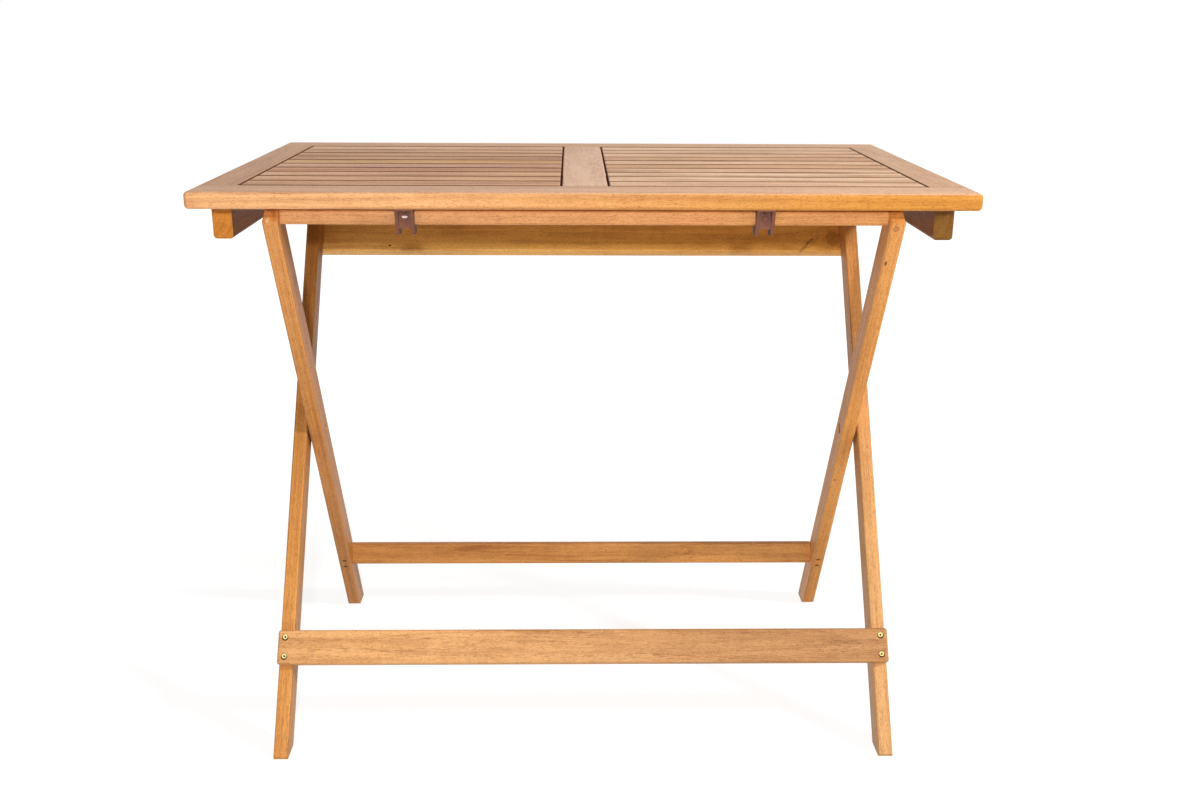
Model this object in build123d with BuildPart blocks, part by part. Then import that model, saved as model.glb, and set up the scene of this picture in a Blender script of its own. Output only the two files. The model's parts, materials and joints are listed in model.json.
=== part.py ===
"""Folding picnic table: a slatted wooden top on a pair of crossed leg frames.

Millimetres, +Z up, +X along the long side of the top, front edge towards -Y.
The origin is on the floor, in the middle of the whole table's outline.
The outer leg frame hangs from two bolts near the back of the top, the inner
frame crosses it on the middle bolts, and the inner frame's top bar sits in two
clips under the front rail.
"""

import os
from math import cos, radians, sin, tan

from build123d import *

# ---------------------------------------------------------------- the top
table_height = 700
top_length = 900
top_depth = 600
board_thickness = 20
rail_width = 60
end_board_width = 47
centre_board_width = 54
outer_arris = 5
inner_arris = 2

slat_count = 10
slat_gap = 5
shoulder_gap = 2
tongue_thickness = 8
tongue_length = 9
tongue_shoulder = 3
groove_depth = 8
tenon_thickness = 8
tenon_width = 30
tenon_length = 20

# ---------------------------------------------------------------- under the top
bearer_thickness = 23
bearer_height = 44
bearer_inset = 64
bearer_side_inset = 14.5
bearer_end_slope = 2.5
bearer_arris = 5
block_length = 80

# ---------------------------------------------------------------- the leg frames
leg_thickness = 18
leg_width = 35
leg_lean = 33.4
leg_side_inset = 64
leg_front_inset = 28
hinge_back_inset = 167
leg_arris = 2.5
leg_nose = 25
toe_bevel = 5
frame_gap = 3
underside_gap = 2.5

top_bar_height = 17
top_bar_depth = 20
top_bar_arris = 4
top_bar_shoulder = 4.5
lower_bar_height = 32.5
lower_bar_thickness = 12
lower_bar_level = 103.25
lower_bar_setback = 7.7
lower_bar_arris = 3.5
lower_bar_shoulder = 2.5
leg_tenon_length = 12
leg_tenon_cover = 5

stretcher_height = 43
stretcher_thickness = 15
stretcher_reach = 127
apron_height = 60
apron_thickness = 18
apron_drop = 69.5
board_arris = 3

# ---------------------------------------------------------------- the clips
clip_width = 21.5
clip_side_inset = 245
clip_wall = 3
clip_flange = 10
clip_rib_thickness = 4
clip_rib_drop = 8
clip_rib_round = 5
clip_toe = 3
clip_boss_radius = 3.5
clip_boss_height = 1.2

# ---------------------------------------------------------------- bolts, screws and staples
bolt_radius = 3
bolt_head_radius = 5.3
bolt_head_height = 3.2
bolt_socket_width = 4
bolt_socket_depth = 2
counterbore_radius = 7
counterbore_depth = 5
nut_counterbore_radius = 8.5
nut_counterbore_depth = 9.5
washer_radius = 8
washer_thickness = 1.5
nut_across_flats = 10
nut_height = 4.5
nut_collar_radius = 4.4
nut_collar_height = 1.5
bolt_end = 1.5

screw_radius = 2
screw_head_radius = 4
screw_head_angle = 82
screw_point = 5
recess_length = 4.4
recess_width = 0.9
recess_depth = 1.6
stretcher_screw_length = 34
stretcher_screw_spacing = 24
apron_screw_length = 38
apron_screw_spacing = 34
bearer_screw_length = 56
bearer_screw_margin = 45
block_screw_margin = 30
block_screw_length = 40
block_screw_spacing = 46

pan_screw_radius = 1.25
pan_head_radius = 3
pan_head_height = 2.4
pan_recess_length = 3
pan_recess_width = 0.7
pan_recess_depth = 1.2
pan_screw_length = 12

staple_crown = 5.5
staple_wire = 1.2
staple_length = 32
staple_spacing = 15
staple_level = 105.5

# ---------------------------------------------------------------- clearances
running_clearance = 0.05
screw_clearance = 0.05
turning_gap = 0.1
joint_clearance = 0.1
clip_clearance = 0.5

# ---------------------------------------------------------------- places worked out from them
lean = radians(leg_lean)
underside = table_height - board_thickness
hinge_height = underside - underside_gap - leg_width / 2
leg_spread = top_depth - leg_front_inset - hinge_back_inset
foot_run = hinge_height * tan(lean)
foot_half = leg_width / 2 / cos(lean)

# The front feet stand a little in front of the top, so the middle of the whole
# outline lies half that far in front of the middle of the top.
foot_overhang = foot_run + foot_half - toe_bevel * sin(lean) - leg_front_inset - leg_spread
front_edge = -(top_depth - foot_overhang) / 2
back_edge = front_edge + top_depth
top_middle = (front_edge + back_edge) / 2

bar_y = front_edge + leg_front_inset
hinge_y = bar_y + leg_spread
cross_y = (bar_y + hinge_y) / 2
cross_height = hinge_height - leg_spread / 2 / tan(lean)

panel_depth = top_depth - 2 * rail_width
slat_width = (panel_depth - (slat_count + 1) * slat_gap) / slat_count
slat_start = centre_board_width / 2 + shoulder_gap
slat_end = top_length / 2 - end_board_width - shoulder_gap
end_board_x = (top_length - end_board_width) / 2

outer_face = top_length / 2 - leg_side_inset
outer_inside = outer_face - leg_thickness
nut_seat = outer_face - nut_counterbore_depth
inner_face = outer_inside - frame_gap
inner_inside = inner_face - leg_thickness

bolt_hole_radius = bolt_radius + running_clearance
bearer_outside = top_length / 2 - bearer_side_inset
bearer_inside = bearer_outside - bearer_thickness
bearer_x = (bearer_outside + bearer_inside) / 2
bearer_bottom = underside - bearer_height
bearer_front = front_edge + bearer_inset
bearer_back = back_edge - bearer_inset
block_front = hinge_y - block_length / 2
block_back = hinge_y + block_length / 2
block_inside = outer_face + washer_thickness + turning_gap

bar_top = underside - underside_gap
bar_bottom = bar_top - top_bar_height
bar_front = bar_y - top_bar_depth / 2
bar_back = bar_y + top_bar_depth / 2
lower_bar_y = bar_y + (hinge_height - lower_bar_level) * tan(lean) + lower_bar_setback

clip_front = bar_front - clip_clearance - clip_wall
clip_bottom = bar_bottom - clip_clearance - clip_wall
clip_plate_bottom = bar_top + clip_clearance
clip_x = top_length / 2 - clip_side_inset
clip_screw_y = clip_front - clip_flange / 2

sides = {"left": -1, "right": 1}

# Planes on the outer frame's slope: X across the table, Y up the legs, Z square
# out of their front or back faces.
slope = Plane(origin=(0, hinge_y, hinge_height), x_dir=(1, 0, 0), z_dir=(0, -cos(lean), sin(lean)))
leg_fronts = slope.offset(leg_width / 2)
leg_backs = slope.offset(-leg_width / 2)
stretcher_middle = stretcher_reach - hinge_height / cos(lean)


# ---------------------------------------------------------------- small parts
def save(piece: BuildPart, name: str) -> None:
    """Labels a finished piece and writes its STEP file."""
    piece.part.label = name
    export_step(piece.part, f"parts/{name}.step")


def cross_recess(length: float, width: float, depth: float, top: float = 0) -> Part:
    """The driver's cross in a screw head whose top is at the given height."""
    with BuildPart() as cross:
        with BuildSketch(Plane.XY.offset(top)):
            Rectangle(length, width)
            Rectangle(width, length)
        extrude(amount=-depth)
    return cross.part


def wood_screw(length: float) -> Part:
    """A countersunk wood screw that points down -Z, its head flush with Z = 0."""
    recess = cross_recess(recess_length, recess_width, recess_depth)
    head_height = (screw_head_radius - screw_radius) / tan(radians(screw_head_angle / 2))
    with BuildPart() as screw:
        with BuildSketch(Plane.XZ):
            with BuildLine():
                Polyline(
                    (0, 0),
                    (screw_head_radius, 0),
                    (screw_radius, -head_height),
                    (screw_radius, screw_point - length),
                    (0, -length),
                    close=True,
                )
            make_face()
        revolve(axis=Axis.Z)
        add(recess, mode=Mode.SUBTRACT)
    return screw.part


def pan_screw() -> Part:
    """A small pan-head screw that points down -Z, with its head above Z = 0."""
    recess = cross_recess(pan_recess_length, pan_recess_width, pan_recess_depth, pan_head_height)
    with BuildPart() as screw:
        with BuildSketch():
            Circle(pan_head_radius)
        extrude(amount=pan_head_height)
        fillet(screw.edges().group_by(Axis.Z)[-1], radius=pan_head_height / 2)
        with BuildSketch():
            Circle(pan_screw_radius)
        extrude(amount=-pan_screw_length)
        add(recess, mode=Mode.SUBTRACT)
    return screw.part


def pivot_bolt(length: float) -> Part:
    """A button-head bolt that points along +X, with X = 0 under its head."""
    with BuildPart() as bolt:
        with BuildSketch(Plane.YZ):
            Circle(bolt_head_radius)
        extrude(amount=-bolt_head_height)
        fillet(bolt.edges().group_by(Axis.X)[0], radius=bolt_head_height / 2)
        with BuildSketch(Plane.YZ.offset(-bolt_head_height)):
            RegularPolygon(bolt_socket_width / 2, 6, major_radius=False)
        extrude(amount=bolt_socket_depth, mode=Mode.SUBTRACT)
        with BuildSketch(Plane.YZ):
            Circle(bolt_radius)
        extrude(amount=length)
        chamfer(bolt.edges().group_by(Axis.X)[-1], length=bolt_radius / 5)
    return bolt.part


def washer(thickness: float) -> Part:
    """A flat washer that grows along +X from X = 0."""
    with BuildPart() as ring:
        with BuildSketch(Plane.YZ):
            Circle(washer_radius)
            Circle(bolt_hole_radius, mode=Mode.SUBTRACT)
        extrude(amount=thickness)
    return ring.part


def nut() -> Part:
    """A lock nut that grows along +X from X = 0: a hexagon with a round collar."""
    with BuildPart() as lock_nut:
        with BuildSketch(Plane.YZ):
            RegularPolygon(nut_across_flats / 2, 6, major_radius=False)
        extrude(amount=nut_height)
        with BuildSketch(Plane.YZ.offset(nut_height)):
            Circle(nut_collar_radius)
        extrude(amount=nut_collar_height)
        fillet(lock_nut.edges().group_by(Axis.X)[-1], radius=nut_collar_height / 2)
        with BuildSketch(Plane.YZ):
            Circle(bolt_hole_radius)
        extrude(amount=nut_height + nut_collar_height, mode=Mode.SUBTRACT)
    return lock_nut.part


def staple() -> Part:
    """A wire staple that points down -Z, its crown along X just proud of Z = 0."""
    with BuildPart() as wire:
        with BuildSketch(Plane.XZ.offset(-staple_wire / 2)):
            with Locations((0, staple_wire / 2)):
                Rectangle(staple_crown, staple_wire)
            with Locations(*[(x * (staple_crown - staple_wire) / 2, 0) for x in (-1, 1)]):
                Rectangle(staple_wire, staple_length, align=(Align.CENTER, Align.MAX))
        extrude(amount=staple_wire)
    return wire.part


def outward(side: int, x: float, y: float, z: float) -> Location:
    """A place at the distance x from the middle, where +X points to that side."""
    return Location((side * x, y, z), (0, 0, 0 if side > 0 else 180))


def screw_holes(places: list[Location], length: float) -> None:
    """Cuts the countersunk holes for wood screws of one length."""
    with Locations(*places):
        CounterSinkHole(
            radius=screw_radius + screw_clearance,
            counter_sink_radius=screw_head_radius + screw_clearance,
            depth=length + screw_clearance,
            counter_sink_angle=screw_head_angle,
        )


def bore(side: int, inside: float, y: float, z: float, radius: float, depth: float) -> None:
    """Cuts a round hole outwards along X from the distance inside."""
    with BuildSketch(Plane.YZ.offset(side * inside)) as mouth:
        with Locations((y, z)):
            Circle(radius)
    extrude(mouth.sketch, amount=side * depth, mode=Mode.SUBTRACT)


def slope_places(plane: Plane, middle: float, spacing: float) -> list[Location]:
    """The four screw places where a board crosses the outer legs."""
    across = outer_face - leg_thickness / 2
    return [
        plane.location * Location((side * across, middle + step * spacing / 2, 0))
        for side in sides.values()
        for step in (-1, 1)
    ]


# ---------------------------------------------------------------- screw places
stretcher_front = leg_fronts.offset(stretcher_thickness)
apron_back = Plane(
    origin=leg_backs.offset(-apron_thickness).origin, x_dir=(1, 0, 0), z_dir=-leg_backs.z_dir
)
stretcher_screw_places = slope_places(stretcher_front, stretcher_middle, stretcher_screw_spacing)
apron_screw_places = slope_places(apron_back, apron_drop, apron_screw_spacing)

# Each bearer's screws keep clear of the pivot block and its bolt.
first_screw_y = bearer_front + bearer_screw_margin
third_screw_y = block_front - block_screw_margin
bearer_screw_rows = [
    first_screw_y,
    (first_screw_y + third_screw_y) / 2,
    third_screw_y,
    (block_back + bearer_back) / 2,
]
bearer_screw_places = {
    side: [Location((side * bearer_x, y, bearer_bottom), (180, 0, 0)) for y in bearer_screw_rows]
    for side in sides.values()
}
block_screw_height = underside - bearer_height / 2
block_screw_rows = [hinge_y + step * block_screw_spacing / 2 for step in (-1, 1)]
block_screw_places = {
    side: [
        Location((side * bearer_outside, y, block_screw_height), (0, side * 90, 0))
        for y in block_screw_rows
    ]
    for side in sides.values()
}
clip_screw_places = [
    Location((side * clip_x, clip_screw_y, clip_plate_bottom), (180, 0, 0)) for side in sides.values()
]

os.makedirs("parts", exist_ok=True)

# ================================================================ the top's boards
# ---------------------------------------------------------------- rails
tenon_level = underside + (board_thickness - tenon_thickness) / 2

for rail_name, way in (("front_rail", -1), ("rear_rail", 1)):
    rail_y = top_middle + way * (top_depth - rail_width) / 2
    joint_y = rail_y - way * rail_width / 2
    with BuildPart() as rail:
        with BuildSketch(Plane.XY.offset(underside)):
            with Locations((0, rail_y)):
                Rectangle(top_length, rail_width)
        extrude(amount=board_thickness)
        joint_face = rail.faces().sort_by(Axis.Y)[0 if way > 0 else -1]
        fillet(rail.edges() - joint_face.edges(), radius=outer_arris)

        with BuildSketch(Plane.XY.offset(tenon_level - joint_clearance)):
            with Locations((-end_board_x, joint_y), (0, joint_y), (end_board_x, joint_y)):
                Rectangle(tenon_width + 2 * joint_clearance, 2 * (tenon_length + joint_clearance))
        extrude(amount=tenon_thickness + 2 * joint_clearance, mode=Mode.SUBTRACT)

        if way < 0:
            with Locations(*clip_screw_places):
                Hole(pan_screw_radius + screw_clearance, depth=pan_screw_length + screw_clearance)
    save(rail, rail_name)


# ---------------------------------------------------------------- end boards and centre board
def cross_board(middle: float, width: float) -> None:
    """Builds a board that runs from rail to rail."""
    with BuildSketch(Plane.XY.offset(underside)) as board:
        with Locations((middle, top_middle)):
            Rectangle(width, panel_depth)
    extrude(board.sketch, amount=board_thickness)


def tenons(middle: float) -> None:
    """Adds the tenons that go into the rails."""
    with BuildSketch(Plane.XY.offset(tenon_level)) as through:
        with Locations((middle, top_middle)):
            Rectangle(tenon_width, panel_depth + 2 * tenon_length)
    extrude(through.sketch, amount=tenon_thickness)


def slat_groove(edge_x: float) -> None:
    """Cuts the groove that takes the slats' tongues along a board's edge."""
    with BuildSketch(Plane.XZ.offset(-top_middle - panel_depth / 2)) as slot:
        with Locations((edge_x, underside + board_thickness / 2)):
            Rectangle(2 * groove_depth, tongue_thickness + 2 * joint_clearance)
    extrude(slot.sketch, amount=panel_depth, mode=Mode.SUBTRACT)


for side_name, side in sides.items():
    with BuildPart() as end_board:
        cross_board(side * end_board_x, end_board_width)
        for edge_group, arris in ((side, outer_arris), (-side, inner_arris)):
            long_edges = end_board.edges().filter_by(Axis.Y).group_by(Axis.X)
            fillet(long_edges[-1 if edge_group > 0 else 0], radius=arris)
        tenons(side * end_board_x)
        slat_groove(side * (top_length / 2 - end_board_width))
        screw_holes(bearer_screw_places[side], bearer_screw_length)
    save(end_board, f"{side_name}_end_board")

with BuildPart() as centre_board:
    cross_board(0, centre_board_width)
    fillet(centre_board.edges().filter_by(Axis.Y), radius=inner_arris)
    tenons(0)
    slat_groove(-centre_board_width / 2)
    slat_groove(centre_board_width / 2)
save(centre_board, "centre_board")

# ---------------------------------------------------------------- slats
slat_length = slat_end - slat_start
slat_pitch = slat_width + slat_gap
first_slat_y = front_edge + rail_width + slat_gap + slat_width / 2
tongue_level = underside + (board_thickness - tongue_thickness) / 2

for side_name, side in sides.items():
    for index in range(slat_count):
        slat_x = side * (slat_start + slat_end) / 2
        slat_y = first_slat_y + index * slat_pitch
        with BuildPart() as slat:
            with BuildSketch(Plane.XY.offset(underside)):
                with Locations((slat_x, slat_y)):
                    Rectangle(slat_length, slat_width)
            extrude(amount=board_thickness)
            fillet(slat.edges(), radius=inner_arris)
            with BuildSketch(Plane.XY.offset(tongue_level)):
                with Locations((slat_x, slat_y)):
                    Rectangle(slat_length + 2 * tongue_length, slat_width - 2 * tongue_shoulder)
            extrude(amount=tongue_thickness)
        save(slat, f"{side_name}_slat_{index + 1}")

# ================================================================ under the top
# ---------------------------------------------------------------- bearers
for side_name, side in sides.items():
    with BuildPart() as bearer:
        with BuildSketch(Plane.YZ.offset(side * bearer_inside)):
            with BuildLine():
                Polyline(
                    (bearer_front, underside),
                    (bearer_front + bearer_end_slope, bearer_bottom),
                    (bearer_back - bearer_end_slope, bearer_bottom),
                    (bearer_back, underside),
                    close=True,
                )
            make_face()
        extrude(amount=side * bearer_thickness)
        fillet(bearer.faces().sort_by(Axis.Z)[0].edges(), radius=bearer_arris)
        bore(side, bearer_inside, hinge_y, hinge_height, bolt_hole_radius, bearer_thickness)
        screw_holes(bearer_screw_places[side] + block_screw_places[side], bearer_screw_length)
    save(bearer, f"{side_name}_bearer")

with BuildPart() as bearer_screws:
    with Locations(*bearer_screw_places[-1], *bearer_screw_places[1]):
        add(wood_screw(bearer_screw_length))
save(bearer_screws, "bearer_screws")

# ---------------------------------------------------------------- pivot blocks
for side_name, side in sides.items():
    with BuildPart() as block:
        with BuildSketch(Plane.YZ.offset(side * block_inside)):
            with Locations((hinge_y, underside)):
                Rectangle(block_length, bearer_height, align=(Align.CENTER, Align.MAX))
        extrude(amount=side * (bearer_inside - block_inside))
        fillet(block.faces().sort_by(Axis.Z)[0].edges(), radius=board_arris)
        bore(side, block_inside, hinge_y, hinge_height, bolt_hole_radius, bearer_inside - block_inside)
        screw_holes(block_screw_places[side], block_screw_length)
    save(block, f"{side_name}_pivot_block")

with BuildPart() as block_screws:
    with Locations(*block_screw_places[-1], *block_screw_places[1]):
        add(wood_screw(block_screw_length))
save(block_screws, "block_screws")

# ================================================================ the leg frames
# ---------------------------------------------------------------- staples and lower bar tenon
staple_reaches = [staple_level / cos(lean) + step * staple_spacing / 2 for step in (-1, 1)]
inner_foot_y = bar_y + foot_run
inner_fronts = Plane(
    origin=(0, inner_foot_y, 0), x_dir=(1, 0, 0), z_dir=(0, -cos(lean), -sin(lean))
).offset(leg_width / 2)

with BuildPart() as lower_bar_staples:
    with Locations(*[
        inner_fronts.location * Location((side * (inner_inside + leg_thickness / 2), reach, 0))
        for side in sides.values()
        for reach in staple_reaches
    ]):
        add(staple())
save(lower_bar_staples, "lower_bar_staples")


# ---------------------------------------------------------------- shapes that two pieces share
def leg_blank(side: int, inside: float, top_y: float, way: int, nose: float) -> Part:
    """A leg with a round top end and a foot cut level at the floor.

    way is 1 where the leg rises towards the back and -1 towards the front. The
    nose is how far the top end stands in front of its middle, where it is cut upright.
    """
    toe_y = top_y - way * foot_run - foot_half
    half_corner = 45 - way * leg_lean / 2
    half_width = leg_width / 2
    nose_rise = (nose - half_width * cos(lean)) / tan(lean) - half_width * sin(lean)
    with BuildPart() as blank:
        with BuildSketch(Plane.YZ.offset(side * inside)):
            with Locations(Location((top_y, hinge_height), -way * leg_lean)):
                Circle(half_width)
                Rectangle(leg_width, 2 * hinge_height, align=(Align.CENTER, Align.MAX))
            if nose > half_width:
                with Locations((top_y, hinge_height)):
                    Polygon(
                        (0, 0),
                        (-half_width * cos(lean), -half_width * sin(lean)),
                        (-nose, nose_rise),
                        (0, half_width),
                        align=None,
                    )
        extrude(amount=side * leg_thickness)
        fillet(blank.faces().filter_by(Axis.X).edges(), radius=leg_arris)
        split(bisect_by=Plane.XY)
        with BuildSketch(Plane.YZ.offset(side * inside)):
            with Locations(Location((toe_y, 0), half_corner)):
                Rectangle(2 * toe_bevel * cos(radians(half_corner)), 4 * toe_bevel)
        extrude(amount=side * leg_thickness, mode=Mode.SUBTRACT)
    return blank.part


def top_tenon(gap: float = 0) -> Sketch:
    """The end section of the top bar's tenons, grown by a gap."""
    with BuildSketch() as outline:
        with Locations((bar_y, (bar_top + bar_bottom) / 2)):
            Rectangle(
                top_bar_depth - 2 * top_bar_shoulder + 2 * gap,
                top_bar_height - 2 * top_bar_shoulder + 2 * gap,
            )
    return outline.sketch


def lower_tenon(gap: float = 0) -> Sketch:
    """The end section of the lower bar's tenons, which stay inside the leg."""
    with BuildSketch() as outline:
        with Locations((lower_bar_y, lower_bar_level)):
            Rectangle(
                lower_bar_thickness - 2 * lower_bar_shoulder + 2 * gap,
                lower_bar_height - 2 * lower_bar_shoulder + 2 * gap,
            )
        with Locations(Location((lower_bar_y - lower_bar_setback, lower_bar_level), leg_lean)):
            Rectangle(leg_width - 2 * leg_tenon_cover + 2 * gap, leg_width * 4, mode=Mode.INTERSECT)
    return outline.sketch


# ---------------------------------------------------------------- the inner frame
for side_name, side in sides.items():
    blank = leg_blank(side, inner_inside, bar_y, -1, leg_nose)
    mortises = [top_tenon(joint_clearance), lower_tenon(joint_clearance)]
    with BuildPart() as inner_leg:
        add(blank)
        with BuildSketch(Plane.YZ.offset(side * inner_inside)):
            add(mortises)
        extrude(amount=side * (leg_tenon_length + joint_clearance), mode=Mode.SUBTRACT)
        bore(side, inner_inside, cross_y, cross_height, bolt_hole_radius, leg_thickness)
        bore(side, inner_inside, cross_y, cross_height, counterbore_radius, counterbore_depth)
        add(lower_bar_staples.part, mode=Mode.SUBTRACT)
    save(inner_leg, f"{side_name}_inner_leg")

with BuildPart() as inner_top_bar:
    with BuildSketch(Plane.YZ):
        with Locations((bar_y, (bar_top + bar_bottom) / 2)):
            Rectangle(top_bar_depth, top_bar_height)
    extrude(amount=inner_inside, both=True)
    fillet(inner_top_bar.edges().filter_by(Axis.X), radius=top_bar_arris)
    with BuildSketch(Plane.YZ):
        add(top_tenon())
    extrude(amount=inner_inside + leg_tenon_length, both=True)
save(inner_top_bar, "inner_top_bar")

with BuildPart() as inner_lower_bar:
    with BuildSketch(Plane.YZ):
        with Locations((lower_bar_y, lower_bar_level)):
            Rectangle(lower_bar_thickness, lower_bar_height)
    extrude(amount=inner_inside, both=True)
    fillet(inner_lower_bar.edges().filter_by(Axis.X), radius=lower_bar_arris)
    with BuildSketch(Plane.YZ):
        add(lower_tenon())
    extrude(amount=inner_inside + leg_tenon_length, both=True)
    add(lower_bar_staples.part, mode=Mode.SUBTRACT)
save(inner_lower_bar, "inner_lower_bar")

# ---------------------------------------------------------------- the outer frame
for side_name, side in sides.items():
    blank = leg_blank(side, outer_inside, hinge_y, 1, 0)
    with BuildPart() as outer_leg:
        add(blank)
        bore(side, outer_inside, cross_y, cross_height, bolt_hole_radius, leg_thickness)
        bore(side, outer_inside, hinge_y, hinge_height, bolt_hole_radius, leg_thickness)
        bore(side, outer_inside, hinge_y, hinge_height, counterbore_radius, counterbore_depth)
        bore(side, nut_seat, cross_y, cross_height, nut_counterbore_radius, nut_counterbore_depth)
        screw_holes(stretcher_screw_places, stretcher_screw_length)
        screw_holes(apron_screw_places, apron_screw_length)
    save(outer_leg, f"{side_name}_outer_leg")

with BuildPart() as front_stretcher:
    with BuildSketch(leg_fronts):
        with Locations((0, stretcher_middle)):
            Rectangle(2 * outer_face, stretcher_height)
    extrude(amount=stretcher_thickness)
    fillet(front_stretcher.edges(), radius=board_arris)
    screw_holes(stretcher_screw_places, stretcher_screw_length)
save(front_stretcher, "front_stretcher")

with BuildPart() as rear_apron:
    with BuildSketch(leg_backs):
        with Locations((0, -apron_drop)):
            Rectangle(2 * outer_face, apron_height)
    extrude(amount=-apron_thickness)
    fillet(rear_apron.edges(), radius=board_arris)
    screw_holes(apron_screw_places, apron_screw_length)
save(rear_apron, "rear_apron")

with BuildPart() as stretcher_screws:
    with Locations(*stretcher_screw_places):
        add(wood_screw(stretcher_screw_length))
save(stretcher_screws, "stretcher_screws")

with BuildPart() as apron_screws:
    with Locations(*apron_screw_places):
        add(wood_screw(apron_screw_length))
save(apron_screws, "apron_screws")

# ================================================================ the clips
for side_name, side in sides.items():
    clip_start = side * clip_x - clip_width / 2
    with BuildPart() as clip:
        with BuildSketch(Plane.YZ.offset(clip_start)):
            with BuildLine():
                Polyline(
                    (clip_front - clip_flange, underside),
                    (clip_front - clip_flange, clip_plate_bottom),
                    (clip_front, clip_plate_bottom),
                    (clip_front, clip_bottom),
                    (bar_back, clip_bottom),
                    (bar_back, underside),
                    close=True,
                )
            make_face()
        extrude(amount=clip_width)

        for rib_start in (clip_start, clip_start + clip_width - clip_rib_thickness):
            with BuildSketch(Plane.YZ.offset(rib_start)) as rib:
                with BuildLine():
                    Polyline(
                        (clip_front - clip_flange, underside),
                        (clip_front - clip_flange + clip_toe, clip_plate_bottom - clip_wall),
                        (clip_front + clip_toe, clip_bottom - clip_rib_drop),
                        (bar_back, clip_bottom - clip_rib_drop),
                        (bar_back, underside),
                        close=True,
                    )
                make_face()
                fillet(rib.vertices().group_by(Axis.Y)[0], radius=clip_rib_round)
            extrude(amount=clip_rib_thickness)

        with BuildSketch(Plane.YZ.offset(clip_start)):
            with Locations((bar_front - clip_clearance, bar_bottom - clip_clearance)):
                Rectangle(
                    top_bar_depth * 2,
                    top_bar_height + 2 * clip_clearance,
                    align=(Align.MIN, Align.MIN),
                )
        extrude(amount=clip_width, mode=Mode.SUBTRACT)

        with BuildSketch(Plane.XZ.offset(-clip_front)):
            with Locations((side * clip_x, (bar_top + bar_bottom) / 2)):
                Circle(clip_boss_radius)
        boss = extrude(amount=clip_boss_height)
        fillet(boss.edges().group_by(Axis.Y)[0], radius=clip_boss_height / 2)
        with Locations(*clip_screw_places):
            Hole(pan_screw_radius + screw_clearance, depth=pan_screw_length + screw_clearance)
    save(clip, f"{side_name}_clip")

with BuildPart() as clip_screws:
    with Locations(*clip_screw_places):
        add(pan_screw())
save(clip_screws, "clip_screws")

# ================================================================ the pivots
cross_bolt_start = inner_inside + counterbore_depth - turning_gap
cross_nut_start = nut_seat + washer_thickness
hinge_bolt_start = outer_inside + counterbore_depth - turning_gap
hinge_nut_start = bearer_outside + washer_thickness

for side_name, side in sides.items():
    with BuildPart() as cross_bolt:
        with Locations(outward(side, cross_bolt_start, cross_y, cross_height)):
            add(pivot_bolt(cross_nut_start + nut_height + nut_collar_height + bolt_end - cross_bolt_start))
    save(cross_bolt, f"{side_name}_cross_bolt")

    with BuildPart() as hinge_bolt:
        with Locations(outward(side, hinge_bolt_start, hinge_y, hinge_height)):
            add(pivot_bolt(hinge_nut_start + nut_height + nut_collar_height + bolt_end - hinge_bolt_start))
    save(hinge_bolt, f"{side_name}_hinge_bolt")

with BuildPart() as frame_spacers:
    with Locations(*[
        outward(side, inner_face + turning_gap, cross_y, cross_height) for side in sides.values()
    ]):
        add(washer(frame_gap - turning_gap))
save(frame_spacers, "frame_spacers")

with BuildPart() as cross_washers:
    with Locations(*[outward(side, nut_seat, cross_y, cross_height) for side in sides.values()]):
        add(washer(washer_thickness))
save(cross_washers, "cross_washers")

with BuildPart() as cross_nuts:
    with Locations(*[outward(side, cross_nut_start, cross_y, cross_height) for side in sides.values()]):
        add(nut())
save(cross_nuts, "cross_nuts")

with BuildPart() as hinge_washers:
    with Locations(*[
        outward(side, start, hinge_y, hinge_height)
        for side in sides.values()
        for start in (outer_face + turning_gap, bearer_outside)
    ]):
        add(washer(washer_thickness))
save(hinge_washers, "hinge_washers")

with BuildPart() as hinge_nuts:
    with Locations(*[outward(side, hinge_nut_start, hinge_y, hinge_height) for side in sides.values()]):
        add(nut())
save(hinge_nuts, "hinge_nuts")
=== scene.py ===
"""Looks of a folding picnic table in oiled acacia: boards, clips, screws and a plain studio.

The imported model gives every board, clip, bolt and screw its shape and place. This script gives
them their finishes, winds the threads on the bolt ends, and sets up the floor, the lights and the
camera.
"""

from __future__ import annotations

import json
import logging
import math
from dataclasses import dataclass, field
from enum import Enum
from typing import Any

import bpy
from bpy.types import Material, Node, NodeSocket, NodeTree, Object
from mathutils import Euler, Matrix, Vector

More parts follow.
